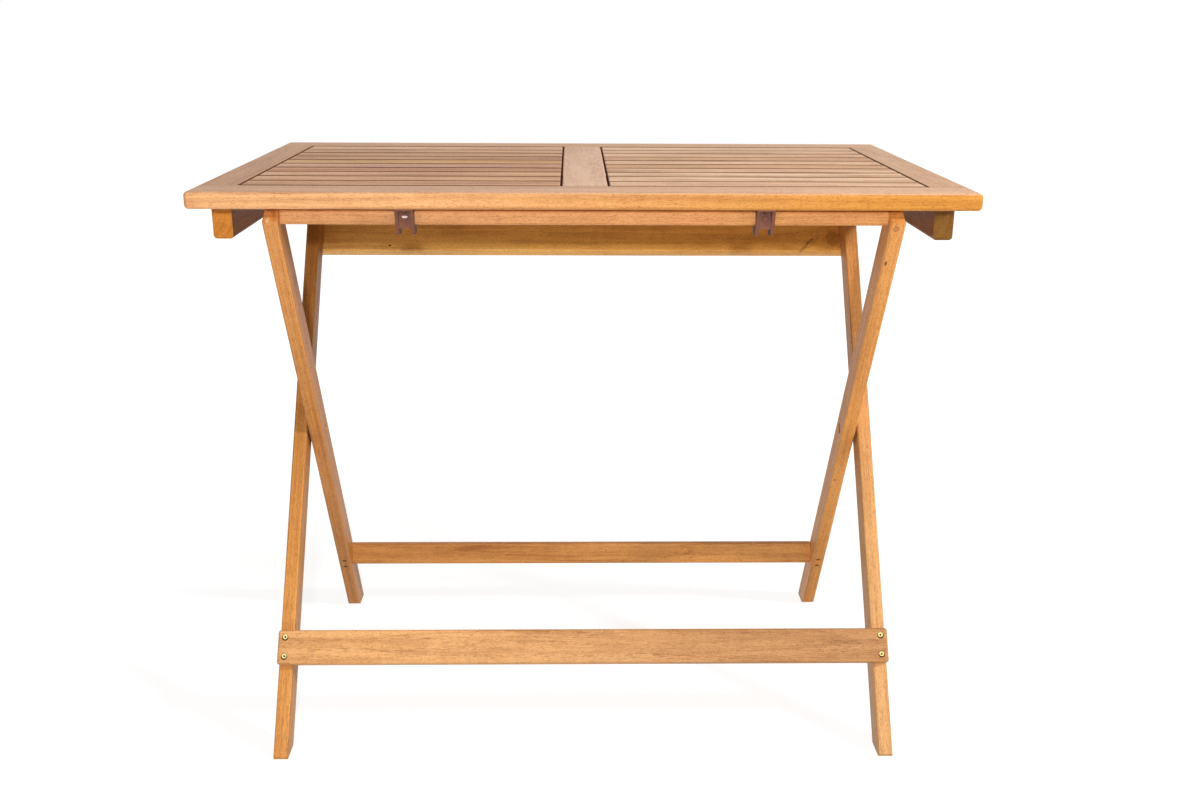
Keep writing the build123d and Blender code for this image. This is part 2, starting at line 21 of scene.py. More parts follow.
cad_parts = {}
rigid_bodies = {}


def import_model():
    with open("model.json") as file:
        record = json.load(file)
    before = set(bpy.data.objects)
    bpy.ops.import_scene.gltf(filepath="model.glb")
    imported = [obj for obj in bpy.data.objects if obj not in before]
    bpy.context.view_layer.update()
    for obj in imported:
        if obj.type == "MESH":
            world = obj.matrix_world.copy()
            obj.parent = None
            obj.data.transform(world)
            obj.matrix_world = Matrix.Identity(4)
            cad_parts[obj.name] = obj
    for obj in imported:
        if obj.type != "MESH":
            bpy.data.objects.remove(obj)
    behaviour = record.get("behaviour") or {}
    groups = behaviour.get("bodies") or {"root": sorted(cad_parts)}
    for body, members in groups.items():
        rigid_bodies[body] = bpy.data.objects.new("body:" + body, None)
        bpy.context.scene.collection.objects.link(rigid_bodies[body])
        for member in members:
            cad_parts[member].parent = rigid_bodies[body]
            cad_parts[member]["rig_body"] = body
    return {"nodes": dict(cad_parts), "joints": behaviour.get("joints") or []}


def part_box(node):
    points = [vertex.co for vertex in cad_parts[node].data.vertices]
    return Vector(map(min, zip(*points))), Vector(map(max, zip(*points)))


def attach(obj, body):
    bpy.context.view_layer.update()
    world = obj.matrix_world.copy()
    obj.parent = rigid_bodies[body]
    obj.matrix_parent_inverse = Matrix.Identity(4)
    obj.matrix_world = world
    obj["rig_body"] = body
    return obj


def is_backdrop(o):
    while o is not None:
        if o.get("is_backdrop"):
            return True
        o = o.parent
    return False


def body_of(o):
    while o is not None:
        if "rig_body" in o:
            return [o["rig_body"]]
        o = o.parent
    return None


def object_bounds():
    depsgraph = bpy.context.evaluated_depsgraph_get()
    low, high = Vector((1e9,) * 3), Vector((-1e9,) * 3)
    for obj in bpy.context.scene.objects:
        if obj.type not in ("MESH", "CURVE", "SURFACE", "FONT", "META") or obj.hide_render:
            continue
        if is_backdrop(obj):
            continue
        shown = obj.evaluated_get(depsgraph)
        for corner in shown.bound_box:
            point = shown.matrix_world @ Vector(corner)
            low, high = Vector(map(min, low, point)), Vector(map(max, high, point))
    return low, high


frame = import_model()

log = logging.getLogger("picnic_table")

MM = 0.001
FAR_OFF = 9999.0  # millimetres, past the edges of any board
Colour = tuple[float, float, float, float]


def linear(hex_code: str) -> Colour:
    """Turns an sRGB hex colour into the linear colour that shaders take.

    Args:
        hex_code: Six hex digits with a leading hash.

    Returns:
        Linear red, green and blue, and an alpha of 1.
    """
    channels = [int(hex_code[i:i + 2], 16) / 255 for i in (1, 3, 5)]
    red, green, blue = (
        value / 12.92 if value <= 0.04045 else ((value + 0.055) / 1.055) ** 2.4
        for value in channels
    )
    return (red, green, blue, 1.0)


def add_node(
    tree: NodeTree,
    kind: str,
    settings: dict[str, Any] | None = None,
    inputs: dict[Any, Any] | None = None,
) -> Node:
    """Adds one node, with its settings, its input values and its links.

    Args:
        tree: The node tree that gets the node.
        kind: The node's type name.
        settings: Attributes of the node to set.
        inputs: Input name or index to a value, or to the output socket that feeds it.

    Returns:
        The new node.
    """
    node = tree.nodes.new(kind)
    for name, value in (settings or {}).items():
        setattr(node, name, value)
    for key, value in (inputs or {}).items():
        if isinstance(value, NodeSocket):
            tree.links.new(value, node.inputs[key])
        else:
            node.inputs[key].default_value = value
    return node


def new_group(
    name: str, kind: str, inputs: dict[str, tuple[str, Any]], outputs: dict[str, str]
) -> NodeTree:
    """Makes an empty node group with its sockets.

    Args:
        name: The group's name.
        kind: The tree's type name.
        inputs: Input name to its socket type and its default value, None for none.
        outputs: Output name to its socket type.

    Returns:
        The new group.
    """
    tree = bpy.data.node_groups.new(name, kind)
    for label, (socket_type, default) in inputs.items():
        socket = tree.interface.new_socket(name=label, in_out="INPUT", socket_type=socket_type)
        if default is not None:
            socket.default_value = default
    for label, socket_type in outputs.items():
        tree.interface.new_socket(name=label, in_out="OUTPUT", socket_type=socket_type)
    return tree


def new_material(name: str) -> tuple[Material, NodeTree]:
    """Makes a material with an empty node tree.

    Args:
        name: The material's name.

    Returns:
        The material and its tree.
    """
    made = bpy.data.materials.new(name)
    made.use_nodes = True
    made.node_tree.nodes.clear()
    return made, made.node_tree


# ------------------------------------------------------------------ how boards lie
class Grain(Enum):
    """How a board was cut from the plank: which way its fibres run."""

    LENGTHWISE = "along the table, wide face up"
    UPRIGHT = "along the table, wide face to the front"
    CROSSWISE = "from front to back, wide face up"
    EDGEWISE = "from front to back, wide face to the side"
    OUTER_LEG = "up the outer frame's legs"
    INNER_LEG = "up the inner frame's legs"
    OUTER_BOARD = "along the table, wide face on the outer frame's slope"


@dataclass(frozen=True)
class BoardFrame:
    """The place and turn of one board's own frame, and its size in millimetres.

    X runs along its fibres, Y across its wide face and Z through its thickness.
    """

    centre: Vector
    turn: Euler
    length: float
    width: float

    @classmethod
    def of(cls, node: str, grain: Grain, lean: float) -> BoardFrame:
        """Works out a board's frame from its node's box and its grain.

        Args:
            node: The CAD node.
            grain: Which way its fibres run.
            lean: The legs' lean from upright, in radians.

        Returns:
            The board's frame.
        """
        low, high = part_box(node)
        sin, cos = math.sin(lean), math.cos(lean)
        columns = {
            Grain.LENGTHWISE: ((1, 0, 0), (0, 1, 0), (0, 0, 1)),
            Grain.UPRIGHT: ((1, 0, 0), (0, 0, 1), (0, -1, 0)),
            Grain.CROSSWISE: ((0, 1, 0), (-1, 0, 0), (0, 0, 1)),
            Grain.EDGEWISE: ((0, 1, 0), (0, 0, 1), (1, 0, 0)),
            Grain.OUTER_LEG: ((0, sin, cos), (0, -cos, sin), (1, 0, 0)),
            Grain.INNER_LEG: ((0, -sin, cos), (0, -cos, -sin), (1, 0, 0)),
            Grain.OUTER_BOARD: ((1, 0, 0), (0, sin, cos), (0, -cos, sin)),
        }[grain]
        turn = Matrix(columns).transposed().to_euler()
        length, width = ((high - low).dot(Vector(map(abs, column))) / MM for column in columns[:2])
        return cls(centre=(low + high) / 2, turn=turn, length=length, width=width)

    def place(self, tree: NodeTree, coordinates: NodeSocket) -> NodeSocket:
        """Turns object coordinates into millimetres in the board's own frame.

        Args:
            tree: The material's tree.
            coordinates: The object coordinates.

        Returns:
            The place on the board.
        """
        mapping = add_node(
            tree, "ShaderNodeMapping", {"vector_type": "TEXTURE"},
            {
                "Vector": coordinates,
                "Location": self.centre,
                "Rotation": self.turn,
                "Scale": (MM, MM, MM),
            },
        )
        return mapping.outputs[0]


# ------------------------------------------------------------------ wood
class AcaciaGrain:
    """The grain of acacia as one node group. Its lengths are millimetres in the board's frame."""

    INPUTS: dict[str, tuple[str, Any]] = {
        "Vector": ("NodeSocketVector", None),
        "Seed": ("NodeSocketFloat", 1.0),
        "Near": ("NodeSocketColor", (0.7, 0.4, 0.2, 1.0)),
        "Far": ("NodeSocketColor", (0.7, 0.4, 0.2, 1.0)),
        "Length": ("NodeSocketFloat", 900.0),
        "Pith": ("NodeSocketVector", (0.0, 12.0, -55.0)),
        "Ring": ("NodeSocketFloat", 4.5),
        "Figure": ("NodeSocketFloat", 0.5),
        "Fibre": ("NodeSocketFloat", 0.5),
        "Mottle": ("NodeSocketFloat", 0.5),
        "Pores": ("NodeSocketFloat", 0.5),
        "Streaks": ("NodeSocketFloat", 0.0),
        "Wander": ("NodeSocketFloat", 10.0),
        "Low Edge": ("NodeSocketFloat", -FAR_OFF),
        "High Edge": ("NodeSocketFloat", FAR_OFF),
        "End": ("NodeSocketFloat", FAR_OFF),
    }

    # How far a seed moves a board through the trunk and its rings.
    SEED_STEP = (211.0, 87.0, 53.0)
    RING_SEED_STEP = 17.3

    # The rings: their slope along the board, their unevenness, and how thin the dark line is that
    # ends each.
    RING_SLOPE = 0.045
    RING_UNEVENNESS = 2.2
    LATE_SHARPNESS = 3.5

    # What the ring lines, the single hairs and the ribbons add to the shade.
    LATE_WEIGHT = -0.28
    HAIR_WEIGHT = 0.34
    RIBBON_WEIGHT = 0.14

    # The level of its pattern at which each mark starts to show, and the level where it is full.
    DARK_LEVELS = (0.02, -0.42)
    PALE_LEVELS = (-0.02, 0.36)
    PORE_LEVELS = (0.53, 0.74)
    DASH_LEVELS = (0.50, 0.70)
    DRIFT_LEVELS = (0.46, 0.62)

    # The share of a board's length, from its middle, at which its colour has turned.
    TURN_AT = 0.42

    # What each mark multiplies the wood's linear colour by.
    DARK_FIBRE: Colour = (0.50, 0.36, 0.25, 1.0)
    PALE_FIBRE: Colour = (1.16, 1.24, 1.38, 1.0)
    OPEN_PORE: Colour = (0.56, 0.40, 0.31, 1.0)
    MINERAL_STREAK: Colour = (0.36, 0.24, 0.17, 1.0)
    # The colour of the painted shade on the walls of the gaps between boards.
    GAP_WALL_SHADE: Colour = (0.17, 0.075, 0.04, 1.0)

    # How fast the painted shade on a gap's wall darkens per millimetre, and how dark it gets.
    WALL_SLOPE = 2.6
    WALL_SHADE_WEIGHT = 0.94

    # The roughness of the softest wood, what the marks add to it, and how deep a pore lies.
    ROUGHNESS = 0.53
    FIBRE_GLOSS = -0.16
    PORE_DULLNESS = 0.18
    WALL_DULLNESS = 0.4
    PORE_DEPTH = -0.7

    @classmethod
    def build(cls) -> NodeTree:
        """Builds the group.

        Returns:
            The group, which gives the wood's colour, its roughness and its surface height.
        """
        tree = new_group(
            "Acacia Grain",
            "ShaderNodeTree",
            cls.INPUTS,
            {"Color": "NodeSocketColor", "Roughness": "NodeSocketFloat", "Height": "NodeSocketFloat"},
        )
        given = add_node(tree, "NodeGroupInput").outputs
        place = add_node(tree, "ShaderNodeSeparateXYZ", inputs={0: given["Vector"]}).outputs
        flow, swayed = cls._trunk(tree, given)

        # Bundles of fibres about 2 mm thick, which carry the sheen and the relief too.
        bundles = cls._marks(tree, flow, length=75.0, width=2.1, detail=3.0, roughness=0.62).outputs[0]
        shade = cls._shade(tree, given, flow, swayed, bundles)

        # Open pores: short dark ticks, drawn a millimetre wide so that they show.
        ticks = cls._marks(tree, flow, length=3.2, width=0.95, detail=0.0)
        pore = cls._shown(tree, ticks.outputs[0], cls.PORE_LEVELS)
        pores = add_node(tree, "ShaderNodeMath", {"operation": "MULTIPLY"}, {0: pore, 1: given["Pores"]})
        # How far inside a gap each place lies; the gap walls get painted shade from it.
        walls = cls._gap_walls(tree, given, place)
        painted_shade = add_node(tree, "ShaderNodeMath", {"operation": "MULTIPLY"}, {0: walls, 1: cls.WALL_SHADE_WEIGHT})

        colour = cls._body(tree, given, place[0], shade)
        for strength, tint in (
            (pores.outputs[0], cls.OPEN_PORE),
            (cls._streaks(tree, given, flow), cls.MINERAL_STREAK),
            (painted_shade.outputs[0], cls.GAP_WALL_SHADE),
        ):
            colour = add_node(
                tree, "ShaderNodeMix", {"data_type": "RGBA", "blend_type": "MULTIPLY"},
                {0: strength, 6: colour, 7: tint},
            ).outputs[2]

        # Oil lies glossier on the hard fibres and soaks away at the pores and in the gaps.
        rough: NodeSocket | float = cls.ROUGHNESS
        for pattern, weight, clamp in (
            (bundles, cls.FIBRE_GLOSS, False),
            (pore, cls.PORE_DULLNESS, False),
            (walls, cls.WALL_DULLNESS, True),
        ):
            rough = add_node(
                tree, "ShaderNodeMath", {"operation": "MULTIPLY_ADD", "use_clamp": clamp},
                {0: pattern, 1: weight, 2: rough},
            ).outputs[0]
        height = add_node(
            tree, "ShaderNodeMath", {"operation": "MULTIPLY_ADD"}, {0: pore, 1: cls.PORE_DEPTH, 2: bundles}
        )
        add_node(
            tree, "NodeGroupOutput",
            inputs={"Color": colour, "Roughness": rough, "Height": height.outputs[0]},
        )
        return tree

    @staticmethod
    def _marks(
        tree: NodeTree, flow: NodeSocket, length: float, width: float, detail: float, roughness: float = 0.5
    ) -> Node:
        """Adds a pattern of soft marks that lie along the fibres.

        Args:
            tree: The group's tree.
            flow: The place in the trunk.
            length: The marks' length along the fibres, in millimetres.
            width: Their width across the fibres, in millimetres.
            detail: How many finer layers the pattern has.
            roughness: How strong the finer layers are.

        Returns:
            The pattern's node.
        """
        sized = add_node(
            tree, "ShaderNodeVectorMath", {"operation": "MULTIPLY"},
            {0: flow, 1: (1 / length, 1 / width, 1 / width)},
        )
        return add_node(
            tree, "ShaderNodeTexNoise",
            inputs={"Vector": sized.outputs[0], "Scale": 1.0, "Detail": detail, "Roughness": roughness},
        )

    @staticmethod
    def _shown(tree: NodeTree, pattern: NodeSocket, levels: tuple[float, float]) -> NodeSocket:
        """Finds where a pattern is strong enough for its mark to show.

        Args:
            tree: The group's tree.
            pattern: The pattern's level.
            levels: The levels at which the mark starts to show and is full.

        Returns:
            How much of the mark shows, from 0 to 1.
        """
        start, full = levels
        return add_node(
            tree, "ShaderNodeMapRange", inputs={"Value": pattern, "From Min": start, "From Max": full}
        ).outputs[0]

    @classmethod
    def _trunk(cls, tree: NodeTree, given: Any) -> tuple[NodeSocket, NodeSocket]:
        """Places the board in a trunk whose heart wanders by several millimetres over its length.

        Args:
            tree: The group's tree.
            given: The group's inputs.

        Returns:
            The place in the trunk, another one for every seed, and the place on the board, each
            swayed as the trunk wanders.
        """
        start = add_node(
            tree, "ShaderNodeVectorMath", {"operation": "SCALE"}, {0: cls.SEED_STEP, "Scale": given["Seed"]}
        )
        planted = add_node(
            tree, "ShaderNodeVectorMath", {"operation": "ADD"}, {0: given["Vector"], 1: start.outputs[0]}
        ).outputs[0]
        drift = cls._marks(tree, planted, length=380.0, width=60.0, detail=2.0)
        centred = add_node(
            tree, "ShaderNodeVectorMath", {"operation": "SUBTRACT"},
            {0: drift.outputs["Color"], 1: (0.5, 0.5, 0.5)},
        )
        sway = add_node(
            tree, "ShaderNodeVectorMath", {"operation": "SCALE"},
            {0: centred.outputs[0], "Scale": given["Wander"]},
        )
        flow, swayed = (
            add_node(tree, "ShaderNodeVectorMath", {"operation": "ADD"}, {0: at, 1: sway.outputs[0]})
            for at in (planted, given["Vector"])
        )
        return flow.outputs[0], swayed.outputs[0]

    @classmethod
    def _shade(
        cls, tree: NodeTree, given: Any, flow: NodeSocket, swayed: NodeSocket, bundles: NodeSocket
    ) -> NodeSocket:
        """Adds up how much darker or paler than the board's body each place is.

        Args:
            tree: The group's tree.
            given: The group's inputs.
            flow: The place in the trunk.
            swayed: The place on the board, swayed as the trunk wanders.
            bundles: The pattern of the fibre bundles.

        Returns:
            The shade: under 0 where the wood is dark, and over 0 where it is pale.
        """
        # Growth rings round the pith, a few millimetres wide and never evenly spaced.
        from_pith = add_node(
            tree, "ShaderNodeVectorMath", {"operation": "SUBTRACT"}, {0: swayed, 1: given["Pith"]}
        )
        across = add_node(
            tree, "ShaderNodeVectorMath", {"operation": "MULTIPLY"},
            {0: from_pith.outputs[0], 1: (cls.RING_SLOPE, 1.0, 1.0)},
        )
        radius = add_node(tree, "ShaderNodeVectorMath", {"operation": "LENGTH"}, {0: across.outputs[0]})
        turns = add_node(
            tree, "ShaderNodeMath", {"operation": "DIVIDE"}, {0: radius.outputs["Value"], 1: given["Ring"]}
        )
        started = add_node(
            tree, "ShaderNodeMath", {"operation": "MULTIPLY_ADD"},
            {0: given["Seed"], 1: cls.RING_SEED_STEP, 2: turns.outputs[0]},
        )
        bands = add_node(
            tree, "ShaderNodeTexNoise", {"noise_dimensions": "1D"},
            {"W": started.outputs[0], "Scale": 1.0, "Detail": 3.0, "Roughness": 0.6},
        )
        uneven = add_node(
            tree, "ShaderNodeMath", {"operation": "MULTIPLY_ADD"},
            {0: bands.outputs[0], 1: cls.RING_UNEVENNESS, 2: turns.outputs[0]},
        )
        season = add_node(tree, "ShaderNodeMath", {"operation": "FRACT"}, {0: uneven.outputs[0]})
        late = add_node(
            tree, "ShaderNodeMath", {"operation": "POWER"}, {0: season.outputs[0], 1: cls.LATE_SHARPNESS}
        )
        lines = add_node(
            tree, "ShaderNodeMath", {"operation": "MULTIPLY"}, {0: late.outputs[0], 1: given["Figure"]}
        )

        # Broad clouds of colour, single hairs, drawn 0.9 mm wide so that they show, and the faint
        # crosswise ribbons of interlocked grain.
        clouds = cls._marks(tree, flow, length=190.0, width=17.0, detail=2.0, roughness=0.55)
        hairs = cls._marks(tree, flow, length=15.0, width=0.9, detail=1.0)
        ribbons = cls._marks(tree, flow, length=16.0, width=34.0, detail=1.0)
        shade: NodeSocket | float = 0.0
        for pattern, weight in (
            (bands.outputs[0], given["Figure"]),
            (bundles, given["Fibre"]),
            (clouds.outputs[0], given["Mottle"]),
            (hairs.outputs[0], cls.HAIR_WEIGHT),
            (ribbons.outputs[0], cls.RIBBON_WEIGHT),
        ):
            level = add_node(tree, "ShaderNodeMath", {"operation": "SUBTRACT"}, {0: pattern, 1: 0.5})
            shade = add_node(
                tree, "ShaderNodeMath", {"operation": "MULTIPLY_ADD"},
                {0: level.outputs[0], 1: weight, 2: shade},
            ).outputs[0]
        return add_node(
            tree, "ShaderNodeMath", {"operation": "MULTIPLY_ADD"},
            {0: lines.outputs[0], 1: cls.LATE_WEIGHT, 2: shade},
        ).outputs[0]

    @classmethod
    def _body(cls, tree: NodeTree, given: Any, along: NodeSocket, shade: NodeSocket) -> NodeSocket:
        """Colours the wood. Dark fibres are redder and pale ones yellower than the board's body.

        Args:
            tree: The group's tree.
            given: The group's inputs.
            along: The place along the board.
            shade: How dark or pale the wood is.

        Returns:
            The wood's colour.
        """
        tint: Any = linear("#ffffff")
        for levels, fibre in ((cls.DARK_LEVELS, cls.DARK_FIBRE), (cls.PALE_LEVELS, cls.PALE_FIBRE)):
            tint = add_node(
                tree, "ShaderNodeMix", {"data_type": "RGBA"},
                {0: cls._shown(tree, shade, levels), 6: tint, 7: fibre},
            ).outputs[2]

        # A board's colour changes slowly from one of its ends to the other.
        share = add_node(tree, "ShaderNodeMath", {"operation": "DIVIDE"}, {0: along, 1: given["Length"]})
        blend = add_node(
            tree, "ShaderNodeMapRange", {"interpolation_type": "SMOOTHSTEP"},
            {"Value": share.outputs[0], "From Min": -cls.TURN_AT, "From Max": cls.TURN_AT},
        )
        body = add_node(
            tree, "ShaderNodeMix", {"data_type": "RGBA"},
            {0: blend.outputs[0], 6: given["Near"], 7: given["Far"]},
        )
        return add_node(
            tree, "ShaderNodeMix", {"data_type": "RGBA", "blend_type": "MULTIPLY"},
            {0: 1.0, 6: body.outputs[2], 7: tint},
        ).outputs[2]

    @classmethod
    def _streaks(cls, tree: NodeTree, given: Any, flow: NodeSocket) -> NodeSocket:
        """Adds mineral streaks: brown dashes a centimetre long and a millimetre wide, in drifts.

        Args:
            tree: The group's tree.
            given: The group's inputs.
            flow: The place in the trunk.

        Returns:
            How strong the streaks are.
        """
        dashes = cls._marks(tree, flow, length=13.0, width=1.1, detail=2.0)
        drifts = cls._marks(tree, flow, length=230.0, width=7.0, detail=1.0)
        dash = cls._shown(tree, dashes.outputs[0], cls.DASH_LEVELS)
        drift = cls._shown(tree, drifts.outputs[0], cls.DRIFT_LEVELS)
        seen = add_node(tree, "ShaderNodeMath", {"operation": "MULTIPLY"}, {0: dash, 1: drift})
        return add_node(
            tree, "ShaderNodeMath", {"operation": "MULTIPLY"}, {0: seen.outputs[0], 1: given["Streaks"]}
        ).outputs[0]

    @classmethod
    def _gap_walls(cls, tree: NodeTree, given: Any, place: Any) -> NodeSocket:
        """Finds the walls of the gaps between boards, which are darkened with painted shade.

        Args:
            tree: The group's tree.
            given: The group's inputs.
            place: The place along, across and through the board.

        Returns:
            How far inside a gap the surface is, from 0 to 1.
        """
        from_middle = add_node(tree, "ShaderNodeMath", {"operation": "ABSOLUTE"}, {0: place[0]})
        walls: NodeSocket | float = 0.0
        for value, start, way in (
            (place[1], given["Low Edge"], -1.0),
            (place[1], given["High Edge"], 1.0),
            (from_middle.outputs[0], given["End"], 1.0),
        ):
            past = add_node(tree, "ShaderNodeMath", {"operation": "SUBTRACT"}, {0: value, 1: start})
            depth = add_node(
                tree, "ShaderNodeMath", {"operation": "MULTIPLY", "use_clamp": True},
                {0: past.outputs[0], 1: way * cls.WALL_SLOPE},
            )
            walls = add_node(
                tree, "ShaderNodeMath", {"operation": "MAXIMUM"}, {0: depth.outputs[0], 1: walls}
            ).outputs[0]
        return walls


class AcaciaKnot:
    """A knot in acacia as a node group: it bends the grain round itself and has a dark heart.

    Apart from the group's own inputs, lengths are in knot sizes.
    """

    INPUTS: dict[str, tuple[str, Any]] = {
        "Vector": ("NodeSocketVector", None),
        "Place": ("NodeSocketVector", (0.0, 0.0, 0.0)),
        "Size": ("NodeSocketFloat", 4.0),
        "Stretch": ("NodeSocketFloat", 1.3),
        "Turn": ("NodeSocketFloat", 0.0),
    }

    # How far the bend reaches along and across the fibres, and how much of it is taken up.
    REACH = (4.5, 2.6)
    PULL = 0.85

    # The heart's uneven edge, and the bark line over it.
    WOBBLE_SCALE = 1.4
    WOBBLE = 0.5
    HEART_EDGE = (1.35, 0.95)
    RIM_RADIUS = 1.15
    RIM_WIDTH = 0.30

    @classmethod
    def build(cls) -> NodeTree:
        """Builds the group.

        Returns:
            The group, which gives the bent vector, the heart's mask and its dark rim's mask.
        """
        tree = new_group(
            "Acacia Knot",
            "ShaderNodeTree",
            cls.INPUTS,
            {"Vector": "NodeSocketVector", "Heart": "NodeSocketFloat", "Rim": "NodeSocketFloat"},
        )
        given = add_node(tree, "NodeGroupInput").outputs
        away = add_node(
            tree, "ShaderNodeVectorMath", {"operation": "SUBTRACT"}, {0: given["Vector"], 1: given["Place"]}
        ).outputs[0]
        scale = add_node(tree, "ShaderNodeMath", {"operation": "DIVIDE"}, {0: 1.0, 1: given["Size"]})
        sized = add_node(
            tree, "ShaderNodeVectorMath", {"operation": "SCALE"}, {0: away, "Scale": scale.outputs[0]}
        ).outputs[0]
        heart, rim = cls._heart(tree, given, sized)
        bent = cls._bend(tree, given, away, sized)
        add_node(tree, "NodeGroupOutput", inputs={"Vector": bent, "Heart": heart, "Rim": rim})
        return tree

    @classmethod
    def _bend(cls, tree: NodeTree, given: Any, away: NodeSocket, sized: NodeSocket) -> NodeSocket:
        """Parts the fibres well before the knot and closes them again behind it.

        Args:
            tree: The group's tree.
            given: The group's inputs.
            away: The way from the knot, in millimetres.
            sized: The same in knot sizes.

        Returns:
            The place that the fibres come from.
        """
        reach = add_node(
            tree, "ShaderNodeVectorMath", {"operation": "MULTIPLY"},
            {0: sized, 1: (1 / cls.REACH[0], 1 / cls.REACH[1], 0.0)},
        ).outputs[0]
        far = add_node(tree, "ShaderNodeVectorMath", {"operation": "DOT_PRODUCT"}, {0: reach, 1: reach})
        fall = add_node(tree, "ShaderNodeMath", {"operation": "MULTIPLY"}, {0: far.outputs["Value"], 1: -1.0})
        near = add_node(tree, "ShaderNodeMath", {"operation": "EXPONENT"}, {0: fall.outputs[0]})
        pull = add_node(
            tree, "ShaderNodeVectorMath", {"operation": "MULTIPLY"}, {0: away, 1: (0.0, -cls.PULL, 0.0)}
        )
        shift = add_node(
            tree, "ShaderNodeVectorMath", {"operation": "SCALE"},
            {0: pull.outputs[0], "Scale": near.outputs[0]},
        )
        return add_node(
            tree, "ShaderNodeVectorMath", {"operation": "ADD"}, {0: given["Vector"], 1: shift.outputs[0]}
        ).outputs[0]

    @classmethod
    def _heart(cls, tree: NodeTree, given: Any, sized: NodeSocket) -> tuple[NodeSocket, NodeSocket]:
        """Draws the heart, an uneven oval with a thin bark line round it.

        Args:
            tree: The group's tree.
            given: The group's inputs.
            sized: The way from the knot, in knot sizes.

        Returns:
            The heart's mask and the bark line's mask.
        """
        slim = add_node(tree, "ShaderNodeMath", {"operation": "DIVIDE"}, {0: 1.0, 1: given["Stretch"]})
        oval = add_node(tree, "ShaderNodeCombineXYZ", inputs={0: slim.outputs[0], 1: 1.0, 2: 0.0})
        turned = add_node(
            tree, "ShaderNodeVectorRotate", {"rotation_type": "Z_AXIS"},
            {"Vector": sized, "Angle": given["Turn"]},
        )
        inside = add_node(
            tree, "ShaderNodeVectorMath", {"operation": "MULTIPLY"},
            {0: turned.outputs[0], 1: oval.outputs[0]},
        )
        wobble = add_node(
            tree, "ShaderNodeTexNoise", inputs={"Vector": sized, "Scale": cls.WOBBLE_SCALE, "Detail": 2.0}
        )
        distance = add_node(tree, "ShaderNodeVectorMath", {"operation": "LENGTH"}, {0: inside.outputs[0]})
        uneven = add_node(
            tree, "ShaderNodeMath", {"operation": "MULTIPLY_ADD"},
            {0: wobble.outputs[0], 1: cls.WOBBLE, 2: distance.outputs["Value"]},
        )
        heart = add_node(
            tree, "ShaderNodeMapRange", {"interpolation_type": "SMOOTHSTEP"},
            {"Value": uneven.outputs[0], "From Min": cls.HEART_EDGE[0], "From Max": cls.HEART_EDGE[1]},
        )
        from_rim = add_node(
            tree, "ShaderNodeMath", {"operation": "SUBTRACT"}, {0: uneven.outputs[0], 1: cls.RIM_RADIUS}
        )
        off_rim = add_node(tree, "ShaderNodeMath", {"operation": "ABSOLUTE"}, {0: from_rim.outputs[0]})
        rim = add_node(
            tree, "ShaderNodeMapRange",
            inputs={"Value": off_rim.outputs[0], "From Min": cls.RIM_WIDTH, "From Max": 0.0},
        )
        return heart.outputs[0], rim.outputs[0]


class Tone(Enum):
    """The body colours of the boards that the slats were sorted from."""

    CREAM = "#f8cea4"
    PALE = "#efc096"
    TAN = "#deaa7a"
    STRAW = "#dba566"
    ROSE = "#d5a07c"
    COPPER = "#cd915c"
    UMBER = "#d29c6c"


class Face(Enum):
    """Which face of a board a knot shows on, as its turn about the fibres."""

    WIDE = 0.0
    NARROW = -math.pi / 2


@dataclass(frozen=True)
class Knot:
    """One knot on a board: its place along and across a face, its turn in degrees, and its look.

    Lengths are in millimetres. The heart and rim strengths run from 0 to 1.
    """

    along: float
    across: float
    size: float
    stretch: float = 1.3
    heart: float = 0.8
    rim: float = 0.7
    colour: str = "#7a3c22"
    face: Face = Face.WIDE
    turn: float = 0.0

    BARK = "#4a2415"

    def bend(self, tree: NodeTree, vector: NodeSocket) -> tuple[Node, NodeSocket]:
        """Adds the knot and bends the grain round it.

        Args:
            tree: The material's tree.
            vector: The place on the board.

        Returns:
            The knot's node, and the place on the board that the fibres there come from.
        """
        bent = add_node(
            tree, "ShaderNodeGroup", {"node_tree": bpy.data.node_groups["Acacia Knot"]},
            {
                "Vector": self._turned(tree, vector, self.face.value),
                "Place": (self.along, self.across, 0.0),
                "Size": self.size,
                "Stretch": self.stretch,
                "Turn": math.radians(self.turn),
            },
        )
        return bent, self._turned(tree, bent.outputs["Vector"], -self.face.value)

    def fill(self, tree: NodeTree, bent: Node, colour: NodeSocket) -> NodeSocket:
        """Lays the knot's heart and the bark line round it over the wood.

        Args:
            tree: The material's tree.
            bent: The knot's node.
            colour: The wood's colour.

        Returns:
            The colour with the knot.
        """
        for part, strength, tone in (("Heart", self.heart, self.colour), ("Rim", self.rim, self.BARK)):
            amount = add_node(
                tree, "ShaderNodeMath", {"operation": "MULTIPLY"}, {0: bent.outputs[part], 1: strength}
            )
            colour = add_node(
                tree, "ShaderNodeMix", {"data_type": "RGBA"},
                {0: amount.outputs[0], 6: colour, 7: linear(tone)},
            ).outputs[2]
        return colour

    @staticmethod
    def _turned(tree: NodeTree, vector: NodeSocket, angle: float) -> NodeSocket:
        """Turns a place on the board about the fibres, or leaves it as it is.

        Args:
            tree: The material's tree.
            vector: The place on the board.
            angle: The turn in radians.

        Returns:
            The turned place.
        """
        if not angle:
            return vector
        return add_node(
            tree, "ShaderNodeVectorRotate", {"rotation_type": "X_AXIS"}, {"Vector": vector, "Angle": angle}
        ).outputs[0]


@dataclass(frozen=True)
class Margins:
    """How far in from a board's edges and ends its gap walls take painted shade, in millimetres.

    Zero leaves that side as plain as the rest. Low and high are the board frame's Y sides.
    """

    low: float = 0.0
    high: float = 0.0
    ends: float = 0.0

    def starts(self, board: BoardFrame) -> dict[str, float]:
        """Works out where on the board the dark walls start.

        Args:
            board: The board's own frame.

        Returns:
            The grain group's inputs for them.
        """
        return {
            "Low Edge": self.low - board.width / 2 if self.low else -FAR_OFF,
            "High Edge": board.width / 2 - self.high if self.high else FAR_OFF,
            "End": board.length / 2 - self.ends if self.ends else FAR_OFF,
        }


